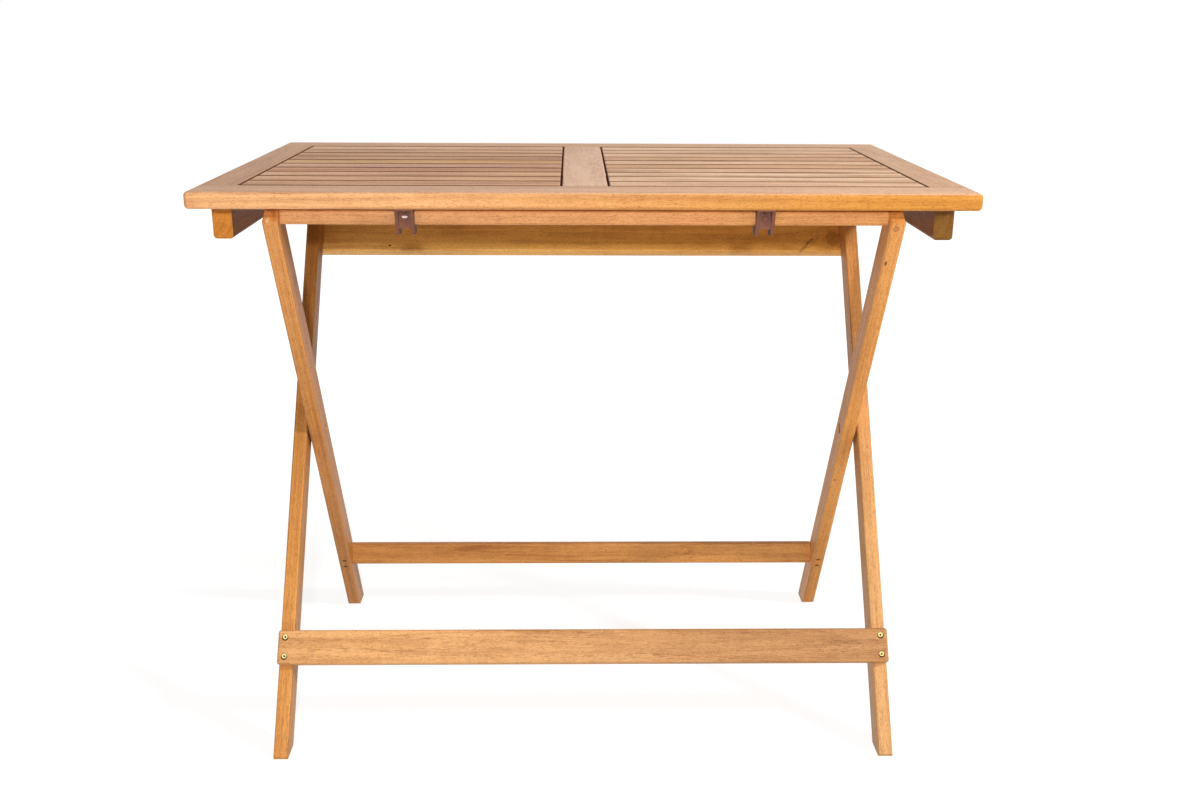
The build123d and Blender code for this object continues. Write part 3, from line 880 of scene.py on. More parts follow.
@dataclass(frozen=True)
class PaintedFacetLighting:
    """The two colours, near and far, of the faces of a board that look one way, which paint light and shade
    on them.

    They start at a face turned by about 60 degrees from that way, and are full by 25 degrees.
    """

    near: str
    far: str
    towards: tuple[float, float, float] = (0.0, 0.0, 1.0)

    START = 0.45
    FULL = 0.9

    def recolour(self, tree: NodeTree, normal: NodeSocket, others: tuple[Colour, Colour]) -> list[NodeSocket]:
        """Paints light and shade on the faces that look one way with their two colours.

        Args:
            tree: The material's tree.
            normal: The surface's normal.
            others: The near and far colours of all other faces.

        Returns:
            The near and far colours over the whole board.
        """
        facing = add_node(
            tree, "ShaderNodeVectorMath", {"operation": "DOT_PRODUCT"}, {0: normal, 1: self.towards}
        )
        there = add_node(
            tree, "ShaderNodeMapRange",
            inputs={"Value": facing.outputs["Value"], "From Min": self.START, "From Max": self.FULL},
        )
        return [
            add_node(
                tree, "ShaderNodeMix", {"data_type": "RGBA"}, {0: there.outputs[0], 6: other, 7: linear(own)}
            ).outputs[2]
            for other, own in zip(others, (self.near, self.far))
        ]


@dataclass(frozen=True)
class OiledAcacia:
    """Acacia heartwood, planed, sanded and oiled.

    It gives the eye warm honey boards that all differ a little, with fine dark pores along the
    fibres and a soft satin shine that turns milky at low angles. Faces that look one way can have
    colours of their own, which paint light and shade on the top or a side of a board.
    """

    near: str
    far: str
    seed: float
    pith: tuple[float, float] = (14.0, -48.0)
    ring: float = 4.5
    figure: float = 0.36
    fibre: float = 0.36
    mottle: float = 0.42
    pores: float = 0.50
    streaks: float = 0.0
    wander: float = 12.0
    knots: tuple[Knot, ...] = ()
    margins: Margins = Margins()
    shine: float = 0.34
    # Painted light and shade on the faces that look one way, if any.
    painted_facet_lighting: PaintedFacetLighting | None = None

    IOR = 1.48
    RELIEF = 0.12 * MM
    RELIEF_STRENGTH = 0.5

    def material(self, name: str, board: BoardFrame) -> Material:
        """Makes the material of one board.

        Args:
            name: The board's name.
            board: The board's own frame.

        Returns:
            The material.
        """
        made, tree = new_material(f"acacia_oiled_{name}")
        surface = add_node(tree, "ShaderNodeTexCoord").outputs
        vector = board.place(tree, surface["Object"])
        marks = []
        for knot in self.knots:
            bent, vector = knot.bend(tree, vector)
            marks.append((knot, bent))
        near, far = linear(self.near), linear(self.far)
        # Paints light and shade on the faces that look one way.
        if self.painted_facet_lighting:
            near, far = self.painted_facet_lighting.recolour(tree, surface["Normal"], (near, far))
        wood = add_node(
            tree, "ShaderNodeGroup", {"node_tree": bpy.data.node_groups["Acacia Grain"]},
            {
                "Vector": vector,
                "Seed": self.seed,
                "Near": near,
                "Far": far,
                "Length": board.length,
                "Pith": (0.0, *self.pith),
                "Ring": self.ring,
                "Figure": self.figure,
                "Fibre": self.fibre,
                "Mottle": self.mottle,
                "Pores": self.pores,
                "Streaks": self.streaks,
                "Wander": self.wander,
                **self.margins.starts(board),
            },
        )
        colour = wood.outputs["Color"]
        for knot, bent in marks:
            colour = knot.fill(tree, bent, colour)
        bump = add_node(
            tree, "ShaderNodeBump",
            inputs={
                "Height": wood.outputs["Height"], "Strength": self.RELIEF_STRENGTH, "Distance": self.RELIEF,
            },
        )
        shader = add_node(
            tree, "ShaderNodeBsdfPrincipled",
            inputs={
                "Base Color": colour,
                "Roughness": wood.outputs["Roughness"],
                "IOR": self.IOR,
                "Specular IOR Level": self.shine,
                "Normal": bump.outputs[0],
            },
        )
        add_node(tree, "ShaderNodeOutputMaterial", inputs={"Surface": shader.outputs[0]})
        return made


# ------------------------------------------------------------------ plastic and metal
@dataclass(frozen=True)
class MouldedNylon:
    """Brown nylon, injection moulded: dull highlights on a faint orange-peel skin.

    Painted shade darkens the sides of the clip's ribs, and a painted glint lies on the boss of one
    clip. Lengths are in millimetres, and the glint's height is above the ribs' lowest points.
    """

    colour: str = "#8c5642"
    shade: str = "#643a2c"
    # The colour of the painted shade on the faces that look sideways.
    painted_shade: str = "#22120c"
    # The colour of the painted glint.
    painted_glint: str = "#f2dcd0"
    roughness: float = 0.42
    peel: float = 1.6
    cloud: float = 9.0
    # The painted glint's scale; 0 paints none.
    glint: float = 0.0
    glint_height: float = 21.5

    SPECULAR = 0.25
    PEEL_DULLNESS = 0.1
    RELIEF = 0.1 * MM
    RELIEF_STRENGTH = 0.3

    # How far a face has to turn sideways before the painted shade starts and is full, and how deep it gets.
    PAINTED_SHADE_FACING = (0.5, 0.9)
    PAINTED_SHADE_DEPTH = 0.8

    # The painted glint's height for its width, and its soft edge in shares of its size.
    GLINT_FLATNESS = 0.36
    GLINT_EDGE = (1.25, 0.85)

    def material(self, name: str) -> Material:
        """Makes the material.

        Args:
            name: The piece's name.

        Returns:
            The material.
        """
        low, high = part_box(name)
        made, tree = new_material(f"nylon_moulded_{name}")
        surface = add_node(tree, "ShaderNodeTexCoord").outputs
        vector = add_node(
            tree, "ShaderNodeMapping", {"vector_type": "TEXTURE"},
            {
                "Vector": surface["Object"],
                "Location": ((low.x + high.x) / 2, low.y, low.z),
                "Scale": (MM, MM, MM),
            },
        ).outputs[0]
        skin, cloud = (
            add_node(
                tree, "ShaderNodeTexNoise", inputs={"Vector": vector, "Scale": 1 / size, "Detail": 2.0}
            ).outputs[0]
            for size in (self.peel, self.cloud)
        )
        mottled = add_node(
            tree, "ShaderNodeMix", {"data_type": "RGBA"},
            {0: cloud, 6: linear(self.shade), 7: linear(self.colour)},
        )

        # Painted shade on the faces that look sideways.
        facing = add_node(tree, "ShaderNodeSeparateXYZ", inputs={0: surface["Normal"]})
        sideways = add_node(tree, "ShaderNodeMath", {"operation": "ABSOLUTE"}, {0: facing.outputs[0]})
        painted_shade = add_node(
            tree, "ShaderNodeMapRange",
            inputs={
                "Value": sideways.outputs[0],
                "From Min": self.PAINTED_SHADE_FACING[0],
                "From Max": self.PAINTED_SHADE_FACING[1],
                "To Max": self.PAINTED_SHADE_DEPTH,
            },
        )
        colour = add_node(
            tree, "ShaderNodeMix", {"data_type": "RGBA"},
            {0: painted_shade.outputs[0], 6: mottled.outputs[2], 7: linear(self.painted_shade)},
        ).outputs[2]
        # A painted glint on the boss.
        if self.glint:
            colour = self._paint_glint(tree, vector, colour)

        rough = add_node(
            tree, "ShaderNodeMath", {"operation": "MULTIPLY_ADD"},
            {0: skin, 1: self.PEEL_DULLNESS, 2: self.roughness - self.PEEL_DULLNESS / 2},
        )
        bump = add_node(
            tree, "ShaderNodeBump",
            inputs={"Height": skin, "Strength": self.RELIEF_STRENGTH, "Distance": self.RELIEF},
        )
        shader = add_node(
            tree, "ShaderNodeBsdfPrincipled",
            inputs={
                "Base Color": colour,
                "Roughness": rough.outputs[0],
                "Specular IOR Level": self.SPECULAR,
                "Normal": bump.outputs[0],
            },
        )
        add_node(tree, "ShaderNodeOutputMaterial", inputs={"Surface": shader.outputs[0]})
        return made

    def _paint_glint(self, tree: NodeTree, vector: NodeSocket, colour: NodeSocket) -> NodeSocket:
        """Paints a low oval glint on the boss: a painted highlight.

        Args:
            tree: The material's tree.
            vector: The place on the clip, in millimetres from its foot.
            colour: The nylon's colour.

        Returns:
            The colour with the painted glint.
        """
        spread = add_node(
            tree, "ShaderNodeMapping", {"vector_type": "TEXTURE"},
            {
                "Vector": vector,
                "Location": (0.0, 0.0, self.glint_height),
                "Scale": (self.glint, 1.0, self.glint * self.GLINT_FLATNESS),
            },
        )
        flat = add_node(
            tree, "ShaderNodeVectorMath", {"operation": "MULTIPLY"},
            {0: spread.outputs[0], 1: (1.0, 0.0, 1.0)},
        )
        reach = add_node(tree, "ShaderNodeVectorMath", {"operation": "LENGTH"}, {0: flat.outputs[0]})
        glinting = add_node(
            tree, "ShaderNodeMapRange",
            inputs={
                "Value": reach.outputs["Value"],
                "From Min": self.GLINT_EDGE[0],
                "From Max": self.GLINT_EDGE[1],
            },
        )
        return add_node(
            tree, "ShaderNodeMix", {"data_type": "RGBA"},
            {0: glinting.outputs[0], 6: colour, 7: linear(self.painted_glint)},
        ).outputs[2]


@dataclass(frozen=True)
class PlatedSteel:
    """Steel with a thin plated skin: bright, with cloudy spots where the plating is dull.

    The spots are in millimetres, and the pale and dark colours are the plating's own.
    """

    process: str
    pale: str
    dark: str
    roughness: float
    spot: float
    metallic: float = 1.0

    SPOT_LEVELS = (0.35, 0.65)
    DULLNESS = 0.14

    def material(self, name: str) -> Material:
        """Makes the material.

        Args:
            name: The piece's name.

        Returns:
            The material.
        """
        made, tree = new_material(f"{self.process}_{name}")
        place = add_node(tree, "ShaderNodeTexCoord")
        vector = add_node(
            tree, "ShaderNodeMapping", {"vector_type": "TEXTURE"},
            {"Vector": place.outputs["Object"], "Scale": (MM, MM, MM)},
        )
        spots = add_node(
            tree, "ShaderNodeTexNoise",
            inputs={"Vector": vector.outputs[0], "Scale": 1 / self.spot, "Detail": 3.0, "Roughness": 0.6},
        )
        cloudy = add_node(
            tree, "ShaderNodeMapRange",
            inputs={
                "Value": spots.outputs[0],
                "From Min": self.SPOT_LEVELS[0],
                "From Max": self.SPOT_LEVELS[1],
            },
        )
        colour = add_node(
            tree, "ShaderNodeMix", {"data_type": "RGBA"},
            {0: cloudy.outputs[0], 6: linear(self.dark), 7: linear(self.pale)},
        )
        rough = add_node(
            tree, "ShaderNodeMath", {"operation": "MULTIPLY_ADD"},
            {0: cloudy.outputs[0], 1: -self.DULLNESS, 2: self.roughness + self.DULLNESS / 2},
        )
        shader = add_node(
            tree, "ShaderNodeBsdfPrincipled",
            inputs={
                "Base Color": colour.outputs[2], "Roughness": rough.outputs[0], "Metallic": self.metallic,
            },
        )
        add_node(tree, "ShaderNodeOutputMaterial", inputs={"Surface": shader.outputs[0]})
        return made


@dataclass(frozen=True)
class DrivenScrews:
    """Four countersunk screws in yellow zinc: a bright land between a dark drive and a dark rim.

    The drive is darkened with painted shade, and a ring of painted shadow lies round the head.
    Lengths are in millimetres, and each ring's edge starts and ends at a share of the head's radius.
    """

    head_radius: float = 4.0
    spacing: float = 24.0
    # The colour of the painted shade in the drive.
    drive: str = "#34321f"
    land: str = "#ead994"
    # The colour of the painted shadow ring round the head.
    rim: str = "#3c2410"
    land_edge: tuple[float, float] = (0.24, 0.38)
    rim_edge: tuple[float, float] = (0.68, 0.80)
    roughness: float = 0.34
    metallic: float = 0.8

    def material(self, name: str, board: BoardFrame) -> Material:
        """Makes the material.

        Args:
            name: The screws' name.
            board: The frame of the face that they are driven into, centred between them.

        Returns:
            The material.
        """
        made, tree = new_material(f"zinc_yellow_passivated_{name}")
        place = add_node(tree, "ShaderNodeTexCoord")
        vector = board.place(tree, place.outputs["Object"])

        # All four heads fold onto one, and its rings follow the distance from its middle.
        folded = add_node(tree, "ShaderNodeVectorMath", {"operation": "ABSOLUTE"}, {0: vector})
        middle = (board.length / 2 - self.head_radius, self.spacing / 2, 0.0)
        off = add_node(
            tree, "ShaderNodeVectorMath", {"operation": "SUBTRACT"}, {0: folded.outputs[0], 1: middle}
        )
        flat = add_node(
            tree, "ShaderNodeVectorMath", {"operation": "MULTIPLY"}, {0: off.outputs[0], 1: (1.0, 1.0, 0.0)}
        )
        radius = add_node(tree, "ShaderNodeVectorMath", {"operation": "LENGTH"}, {0: flat.outputs[0]})
        # Painted shade in the drive, then the bright land, then a painted shadow ring at the head's edge.
        colour: Any = linear(self.drive)
        for (start, full), tone in ((self.land_edge, self.land), (self.rim_edge, self.rim)):
            past = add_node(
                tree, "ShaderNodeMapRange",
                inputs={
                    "Value": radius.outputs["Value"],
                    "From Min": self.head_radius * start,
                    "From Max": self.head_radius * full,
                },
            )
            colour = add_node(
                tree, "ShaderNodeMix", {"data_type": "RGBA"}, {0: past.outputs[0], 6: colour, 7: linear(tone)}
            ).outputs[2]
        shader = add_node(
            tree, "ShaderNodeBsdfPrincipled",
            inputs={"Base Color": colour, "Roughness": self.roughness, "Metallic": self.metallic},
        )
        add_node(tree, "ShaderNodeOutputMaterial", inputs={"Surface": shader.outputs[0]})
        return made


BROWNED_ZINC = PlatedSteel("zinc_browned", pale="#7a5a44", dark="#3c281c", roughness=0.40, spot=2.0)
BRIGHT_ZINC = PlatedSteel("zinc_bright_plated", pale="#c9c8c4", dark="#9d9b97", roughness=0.30, spot=2.6)
STAPLE_WIRE = PlatedSteel(
    "steel_wire_lacquered", pale="#6e4630", dark="#4a2c1e", roughness=0.42, spot=1.5, metallic=0.5
)


# ------------------------------------------------------------------ sub-assemblies
@dataclass
class Assembly:
    """Boards and small parts that are dressed together.

    Attributes:
        lean: The legs' lean from upright, in radians.
        title: What the log calls it.
        boards: CAD node to its grain and its finish, and so too screws driven into a board.
        fittings: CAD node to its finish.
    """

    lean: float
    title: str = "assembly"
    boards: dict[str, tuple[Grain, OiledAcacia | DrivenScrews]] = field(default_factory=dict)
    fittings: dict[str, MouldedNylon | PlatedSteel] = field(default_factory=dict)

    def dress(self) -> int:
        """Gives every board and fitting its material.

        Returns:
            How many CAD nodes were dressed.
        """
        for node, (grain, finish) in self.boards.items():
            self._assign(node, finish.material(node, BoardFrame.of(node, grain, self.lean)))
        for node, finish in self.fittings.items():
            self._assign(node, finish.material(node))
        return len(self.boards) + len(self.fittings)

    def _assign(self, node: str, material: Material) -> None:
        """Puts one material in every slot of a CAD node.

        Args:
            node: The CAD node.
            material: Its material.
        """
        for slot in frame["nodes"][node].material_slots:
            slot.material = material
        log.info("%s: %s is %s", self.title, node, material.name)


@dataclass
class Tabletop(Assembly):
    """The slatted top with its bearers, blocks and clips.

    The wall is how far in from a board's edge its gap walls take painted shade. A slat's ends take
    painted shade over the length of their tongues and a little past them. All three are in
    millimetres. The slats are listed from the front to the rear.
    """

    title: str = "tabletop"
    wall: float = 1.5
    tongue: float = 9.0
    past_tongue: float = 0.6
    # The left slats take darker tones and the right ones paler: partly the boards' own tones, partly painted
    # shade that darkens the top towards the left.
    left_slats: tuple[Tone, ...] = (
        Tone.UMBER, Tone.TAN, Tone.TAN, Tone.COPPER, Tone.ROSE,
        Tone.STRAW, Tone.UMBER, Tone.UMBER, Tone.TAN, Tone.PALE,
    )
    right_slats: tuple[Tone, ...] = (
        Tone.PALE, Tone.CREAM, Tone.CREAM, Tone.PALE, Tone.TAN,
        Tone.PALE, Tone.TAN, Tone.PALE, Tone.PALE, Tone.CREAM,
    )
    centre_clouds: tuple[Knot, ...] = (
        Knot(106.0, 0.0, 13.0, heart=0.10, rim=0.0, colour="#b07a50"),
        Knot(-46.0, -8.0, 10.0, heart=0.08, rim=0.0, colour="#b07a50"),
    )

    def __post_init__(self) -> None:
        """Chooses every board's finish."""
        self.boards = {
            "front_rail": (
                Grain.LENGTHWISE,
                OiledAcacia(
                    "#eeb27a", "#cf8c38", 1.7, pith=(-40, -30), ring=6, margins=Margins(high=2.0), shine=0.25,
                    # Painted light: the rail's top face is paler towards its right end.
                    painted_facet_lighting=PaintedFacetLighting("#d7a67f", "#efbe96"),
                ),
            ),
            "rear_rail": (
                Grain.LENGTHWISE,
                OiledAcacia(
                    "#deaa7c", "#e8b68a", 2.9, pith=(30, -44), margins=Margins(low=self.wall), shine=0.25,
                ),
            ),
            # The left end board is darker than the right one: partly the boards' own tones, partly painted
            # shade that darkens the top towards the left.
            "left_end_board": (
                Grain.CROSSWISE,
                OiledAcacia("#ca9468", "#d09c72", 3.4, pith=(8, -60), margins=Margins(low=1.0), shine=0.25),
            ),
            "right_end_board": (
                Grain.CROSSWISE,
                OiledAcacia(
                    "#dcaa80", "#deb088", 4.8, pith=(-12, -52), margins=Margins(high=1.0), shine=0.25,
                ),
            ),
            "centre_board": (
                Grain.CROSSWISE,
                OiledAcacia(
                    "#ecc09c", "#eabc98", 5.2, pith=(6, -70), ring=6,
                    margins=Margins(low=1.0, high=1.0), shine=0.25, knots=self.centre_clouds,
                ),
            ),
        }
        # Painted shade on the slats' gap walls, and over their tongues at the ends.
        walls = Margins(low=self.wall, high=self.wall, ends=self.tongue + self.past_tongue)
        for side, inward, offset, near, tones in (
            ("left", 1.0, 0.0, "#dc8e36", self.left_slats),
            ("right", -1.0, 31.0, "#7e561e", self.right_slats),
        ):
            # Each slat has a seed and a pith of its own, so that no two show the same grain.
            for index, tone in enumerate(tones, start=1):
                self.boards[f"{side}_slat_{index}"] = (
                    Grain.LENGTHWISE,
                    OiledAcacia(
                        tone.value, tone.value, 6.3 + offset + 1.37 * index,
                        pith=(9.0 * (index % 5 - 2), -40.0), ring=8.0, figure=0.75, fibre=1.0, mottle=1.1,
                        margins=walls, shine=0.2,
                    ),
                )
            self.boards[f"{side}_bearer"] = (
                Grain.EDGEWISE,
                OiledAcacia(
                    # Painted shade: each bearer darkens from its front end to its rear, the right one is dark
                    # all along, and its faces looking inwards are darker still.
                    near, "#85552f", 9.1 + offset, pith=(10, -30), shine=0.2,
                    painted_facet_lighting=PaintedFacetLighting("#8a541e", "#744218", towards=(inward, 0.0, 0.0)),
                ),
            )
            self.boards[f"{side}_pivot_block"] = (
                Grain.EDGEWISE,
                OiledAcacia("#c88a50", "#c88a50", 12.6 + offset, pith=(-12, -30), ring=5),
            )
            # The left clip's boss gets a painted glint.
            self.fittings[f"{side}_clip"] = MouldedNylon(glint=3.4 if side == "left" else 0.0)
            self.fittings[f"{side}_hinge_bolt"] = BRIGHT_ZINC
        self.fittings["clip_screws"] = BROWNED_ZINC
        for node in ("bearer_screws", "block_screws", "hinge_washers", "hinge_nuts"):
            self.fittings[node] = BRIGHT_ZINC


@dataclass
class OuterFrame(Assembly):
    """The outer leg frame, which hangs from the back of the top."""

    title: str = "outer frame"
    apron_pin_knot: Knot = Knot(-274.0, -22.0, 1.5, heart=0.95, colour="#3a1c0e")
    apron_crotch_and_shade: tuple[Knot, ...] = (
        Knot(316.0, -24.0, 2.0, stretch=4.0, heart=0.45, rim=0.3, colour="#7a441c", turn=-44.0),
        Knot(324.0, -15.0, 1.8, stretch=4.5, heart=0.55, rim=0.4, colour="#6a3414", turn=-46.0),
        Knot(334.0, -9.0, 4.0, stretch=2.0, heart=0.25, rim=0.15, colour="#8a5424", turn=-40.0),
        # Painted shade: a dark patch beside the right outer leg, where the leg shades the apron.
        Knot(358.0, -10.0, 12.0, stretch=0.9, heart=0.32, rim=0.0, colour="#6a3c16"),
    )

    def __post_init__(self) -> None:
        """Chooses every board's finish."""
        self.boards = {
            "left_outer_leg": (
                Grain.OUTER_LEG,
                OiledAcacia(
                    # Painted shade: the leg darkens towards its top, and its faces looking to the right are
                    # darker.
                    "#e29c4e", "#a4692a", 15.3, pith=(22, -36), streaks=0.5,
                    painted_facet_lighting=PaintedFacetLighting("#bd8341", "#a4692a", towards=(1.0, 0.0, 0.0)),
                ),
            ),
            "right_outer_leg": (
                Grain.OUTER_LEG, OiledAcacia("#daa468", "#d0904e", 17.9, pith=(-20, -40), streaks=0.4),
            ),
            "front_stretcher": (
                Grain.OUTER_BOARD,
                OiledAcacia("#e8ae70", "#be8a56", 19.4, pith=(6, -58), streaks=0.7),
            ),
            "rear_apron": (
                Grain.OUTER_BOARD,
                OiledAcacia(
                    "#f6be66", "#eeae54", 22.7, pith=(-30, -40), mottle=0.7,
                    knots=(self.apron_pin_knot, *self.apron_crotch_and_shade),
                ),
            ),
        }
        self.boards["stretcher_screws"] = (Grain.OUTER_BOARD, DrivenScrews())
        self.fittings = dict.fromkeys(
            (
                "apron_screws", "left_cross_bolt", "right_cross_bolt",
                "frame_spacers", "cross_washers", "cross_nuts",
            ),
            BRIGHT_ZINC,
        )


@dataclass
class InnerFrame(Assembly):
    """The inner leg frame, whose top bar sits in the clips."""

    title: str = "inner frame"
    left_leg_spot: Knot = Knot(407.0, -2.4, 2.2, heart=0.75, rim=0.0, colour="#f0cfa4", face=Face.NARROW)
    right_leg_knots: tuple[Knot, ...] = (
        Knot(397.0, -2.0, 3.0, stretch=1.1, heart=0.25, rim=0.65, colour="#a85c30", face=Face.NARROW),
        Knot(343.0, -4.5, 1.4, stretch=2.6, heart=0.85, rim=0.6, colour="#5a2410", face=Face.NARROW),
        Knot(-73.0, -3.7, 1.9, stretch=1.2, heart=0.7, rim=0.3, colour="#a0502c", face=Face.NARROW),
    )

    def __post_init__(self) -> None:
        """Chooses every board's finish."""
        self.boards = {
            "left_inner_leg": (
                Grain.INNER_LEG,
                OiledAcacia(
                    "#c68646", "#e09a54", 25.1, pith=(16, -40),
                    # Painted shade: the leg's faces looking to the right are darker, most of all at the top.
                    painted_facet_lighting=PaintedFacetLighting("#b97d41", "#ac7238", towards=(1.0, 0.0, 0.0)),
                    knots=(self.left_leg_spot,),
                ),
            ),
            "right_inner_leg": (
                Grain.INNER_LEG,
                OiledAcacia(
                    "#dc984a", "#e49e54", 27.6, pith=(-18, -40), streaks=0.3,
                    # Painted light: the leg's faces looking to the left are paler towards its foot.
                    painted_facet_lighting=PaintedFacetLighting("#f0b06c", "#e49e54", towards=(-1.0, 0.0, 0.0)),
                    knots=self.right_leg_knots,
                ),
            ),
            "inner_top_bar": (
                Grain.LENGTHWISE,
                OiledAcacia("#e0a066", "#e29e5a", 29.8, pith=(10, -40), ring=4),
            ),
            "inner_lower_bar": (
                Grain.UPRIGHT,
                OiledAcacia(
                    "#cc8c4a", "#d69652", 32.2, pith=(8, -44), ring=5, fibre=0.6, mottle=0.7, streaks=0.5,
                ),
            ),
        }
        self.fittings = {"lower_bar_staples": STAPLE_WIRE}


# ------------------------------------------------------------------ threads
@dataclass
class BoltThreads:
    """The rolled threads that show past the lock nuts. Lengths are in millimetres."""

    pitch: float = 1.0
    depth: float = 0.45
    shank_radius: float = 3.0
    shown: float = 1.5
    bevel: float = 0.6
    steps: int = 40
    ridge_sides: int = 6
    bolts: tuple[str, ...] = ("left_cross_bolt", "right_cross_bolt", "left_hinge_bolt", "right_hinge_bolt")

    def tree(self) -> NodeTree:
        """Builds the Geometry Nodes tree that winds one thread ridge at each point of a mesh.

        Returns:
            The tree, whose inputs are the thread's sizes in metres and its material.
        """
        tree = new_group(
            "Rolled Thread",
            "GeometryNodeTree",
            {
                "Geometry": ("NodeSocketGeometry", None),
                "Turns": ("NodeSocketFloat", 1.0),
                "Radius": ("NodeSocketFloat", 0.003),
                "Rise": ("NodeSocketFloat", 0.001),
                "Ridge": ("NodeSocketFloat", 0.0004),
                "Steps": ("NodeSocketInt", self.steps),
                "Material": ("NodeSocketMaterial", None),
            },
            {"Geometry": "NodeSocketGeometry"},
        )
        given = add_node(tree, "NodeGroupInput").outputs
        spiral = add_node(
            tree, "GeometryNodeCurveSpiral",
            inputs={
                "Resolution": given["Steps"],
                "Rotations": given["Turns"],
                "Start Radius": given["Radius"],
                "End Radius": given["Radius"],
                "Height": given["Rise"],
            },
        )
        section = add_node(
            tree, "GeometryNodeCurvePrimitiveCircle",
            inputs={"Resolution": self.ridge_sides, "Radius": given["Ridge"]},
        )
        ridge = add_node(
            tree, "GeometryNodeCurveToMesh",
            inputs={"Curve": spiral.outputs[0], "Profile Curve": section.outputs[0], "Fill Caps": True},
        )
        lying = add_node(
            tree, "GeometryNodeTransform",
            inputs={"Geometry": ridge.outputs[0], "Rotation": (0.0, math.pi / 2, 0.0)},
        )
        placed = add_node(
            tree, "GeometryNodeInstanceOnPoints",
            inputs={"Points": given["Geometry"], "Instance": lying.outputs[0]},
        )
        real = add_node(tree, "GeometryNodeRealizeInstances", inputs={"Geometry": placed.outputs[0]})
        dressed = add_node(
            tree, "GeometryNodeSetMaterial",
            inputs={"Geometry": real.outputs[0], "Material": given["Material"]},
        )
        add_node(tree, "NodeGroupOutput", inputs={"Geometry": dressed.outputs[0]})
        return tree

    def wind(self) -> list[Object]:
        """Winds the threads on the outer ends of all the bolts.

        Returns:
            One finished piece for each bolt.
        """
        tree = self.tree()
        sockets = {item.name: item.identifier for item in tree.interface.items_tree if item.in_out == "INPUT"}
        height = self.shown - self.bevel
        made = []
        for bolt in self.bolts:
            low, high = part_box(bolt)
            left = bolt.startswith("left")
            start = low.x + self.bevel * MM if left else high.x - self.shown * MM
            mesh = bpy.data.meshes.new(f"{bolt}_thread_start")
            mesh.from_pydata([(start, (low.y + high.y) / 2, (low.z + high.z) / 2)], [], [])
            starter = bpy.data.objects.new(f"{bolt}_thread_start", mesh)
            bpy.context.scene.collection.objects.link(starter)
            winding = starter.modifiers.new("thread", "NODES")
            winding.node_group = tree
            # The ridge is rooted a little inside the shank's surface.
            for name, value in {
                "Turns": height / self.pitch,
                "Radius": (self.shank_radius - self.depth / 3) * MM,
                "Rise": height * MM,
                "Ridge": self.depth * MM,
                "Steps": self.steps,
                "Material": BRIGHT_ZINC.material(f"{bolt}_thread"),
            }.items():
                winding[sockets[name]] = value
            depsgraph = bpy.context.evaluated_depsgraph_get()
            wound = bpy.data.meshes.new_from_object(starter.evaluated_get(depsgraph))
            bpy.data.objects.remove(starter)
            thread = bpy.data.objects.new(f"{bolt}_thread", wound)
            bpy.context.scene.collection.objects.link(thread)
            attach(thread, body_of(frame["nodes"][bolt])[0])
            made.append(thread)
            log.info("threads: %s has %d faces", thread.name, len(wound.polygons))
        return made


# ------------------------------------------------------------------ studio
@dataclass(frozen=True)
class Softbox:
    """One square softbox: its direction from the table, its distance, its size and its power.

    Angles are in degrees and lengths in metres.
    """

    name: str
    azimuth: float
    elevation: float
    distance: float
    size: float
    watts: float
    tint: str = "#ffffff"

    def hang(self, target: Vector) -> Object:
        """Hangs the softbox and points it at a place.

        Args:
            target: The place that it points at, in metres.

        Returns:
            The light's object.
        """
        turn, rise = math.radians(self.azimuth), math.radians(self.elevation)
        away = Vector((math.sin(turn) * math.cos(rise), -math.cos(turn) * math.cos(rise), math.sin(rise)))
        light = bpy.data.lights.new(self.name, "AREA")
        light.shape = "SQUARE"
        light.size = self.size
        light.energy = self.watts
        light.color = linear(self.tint)[:3]
        lamp = bpy.data.objects.new(self.name, light)
        lamp.location = target + away * self.distance
        lamp.rotation_euler = away.to_track_quat("Z", "Y").to_euler()
        bpy.context.scene.collection.objects.link(lamp)
        return lamp


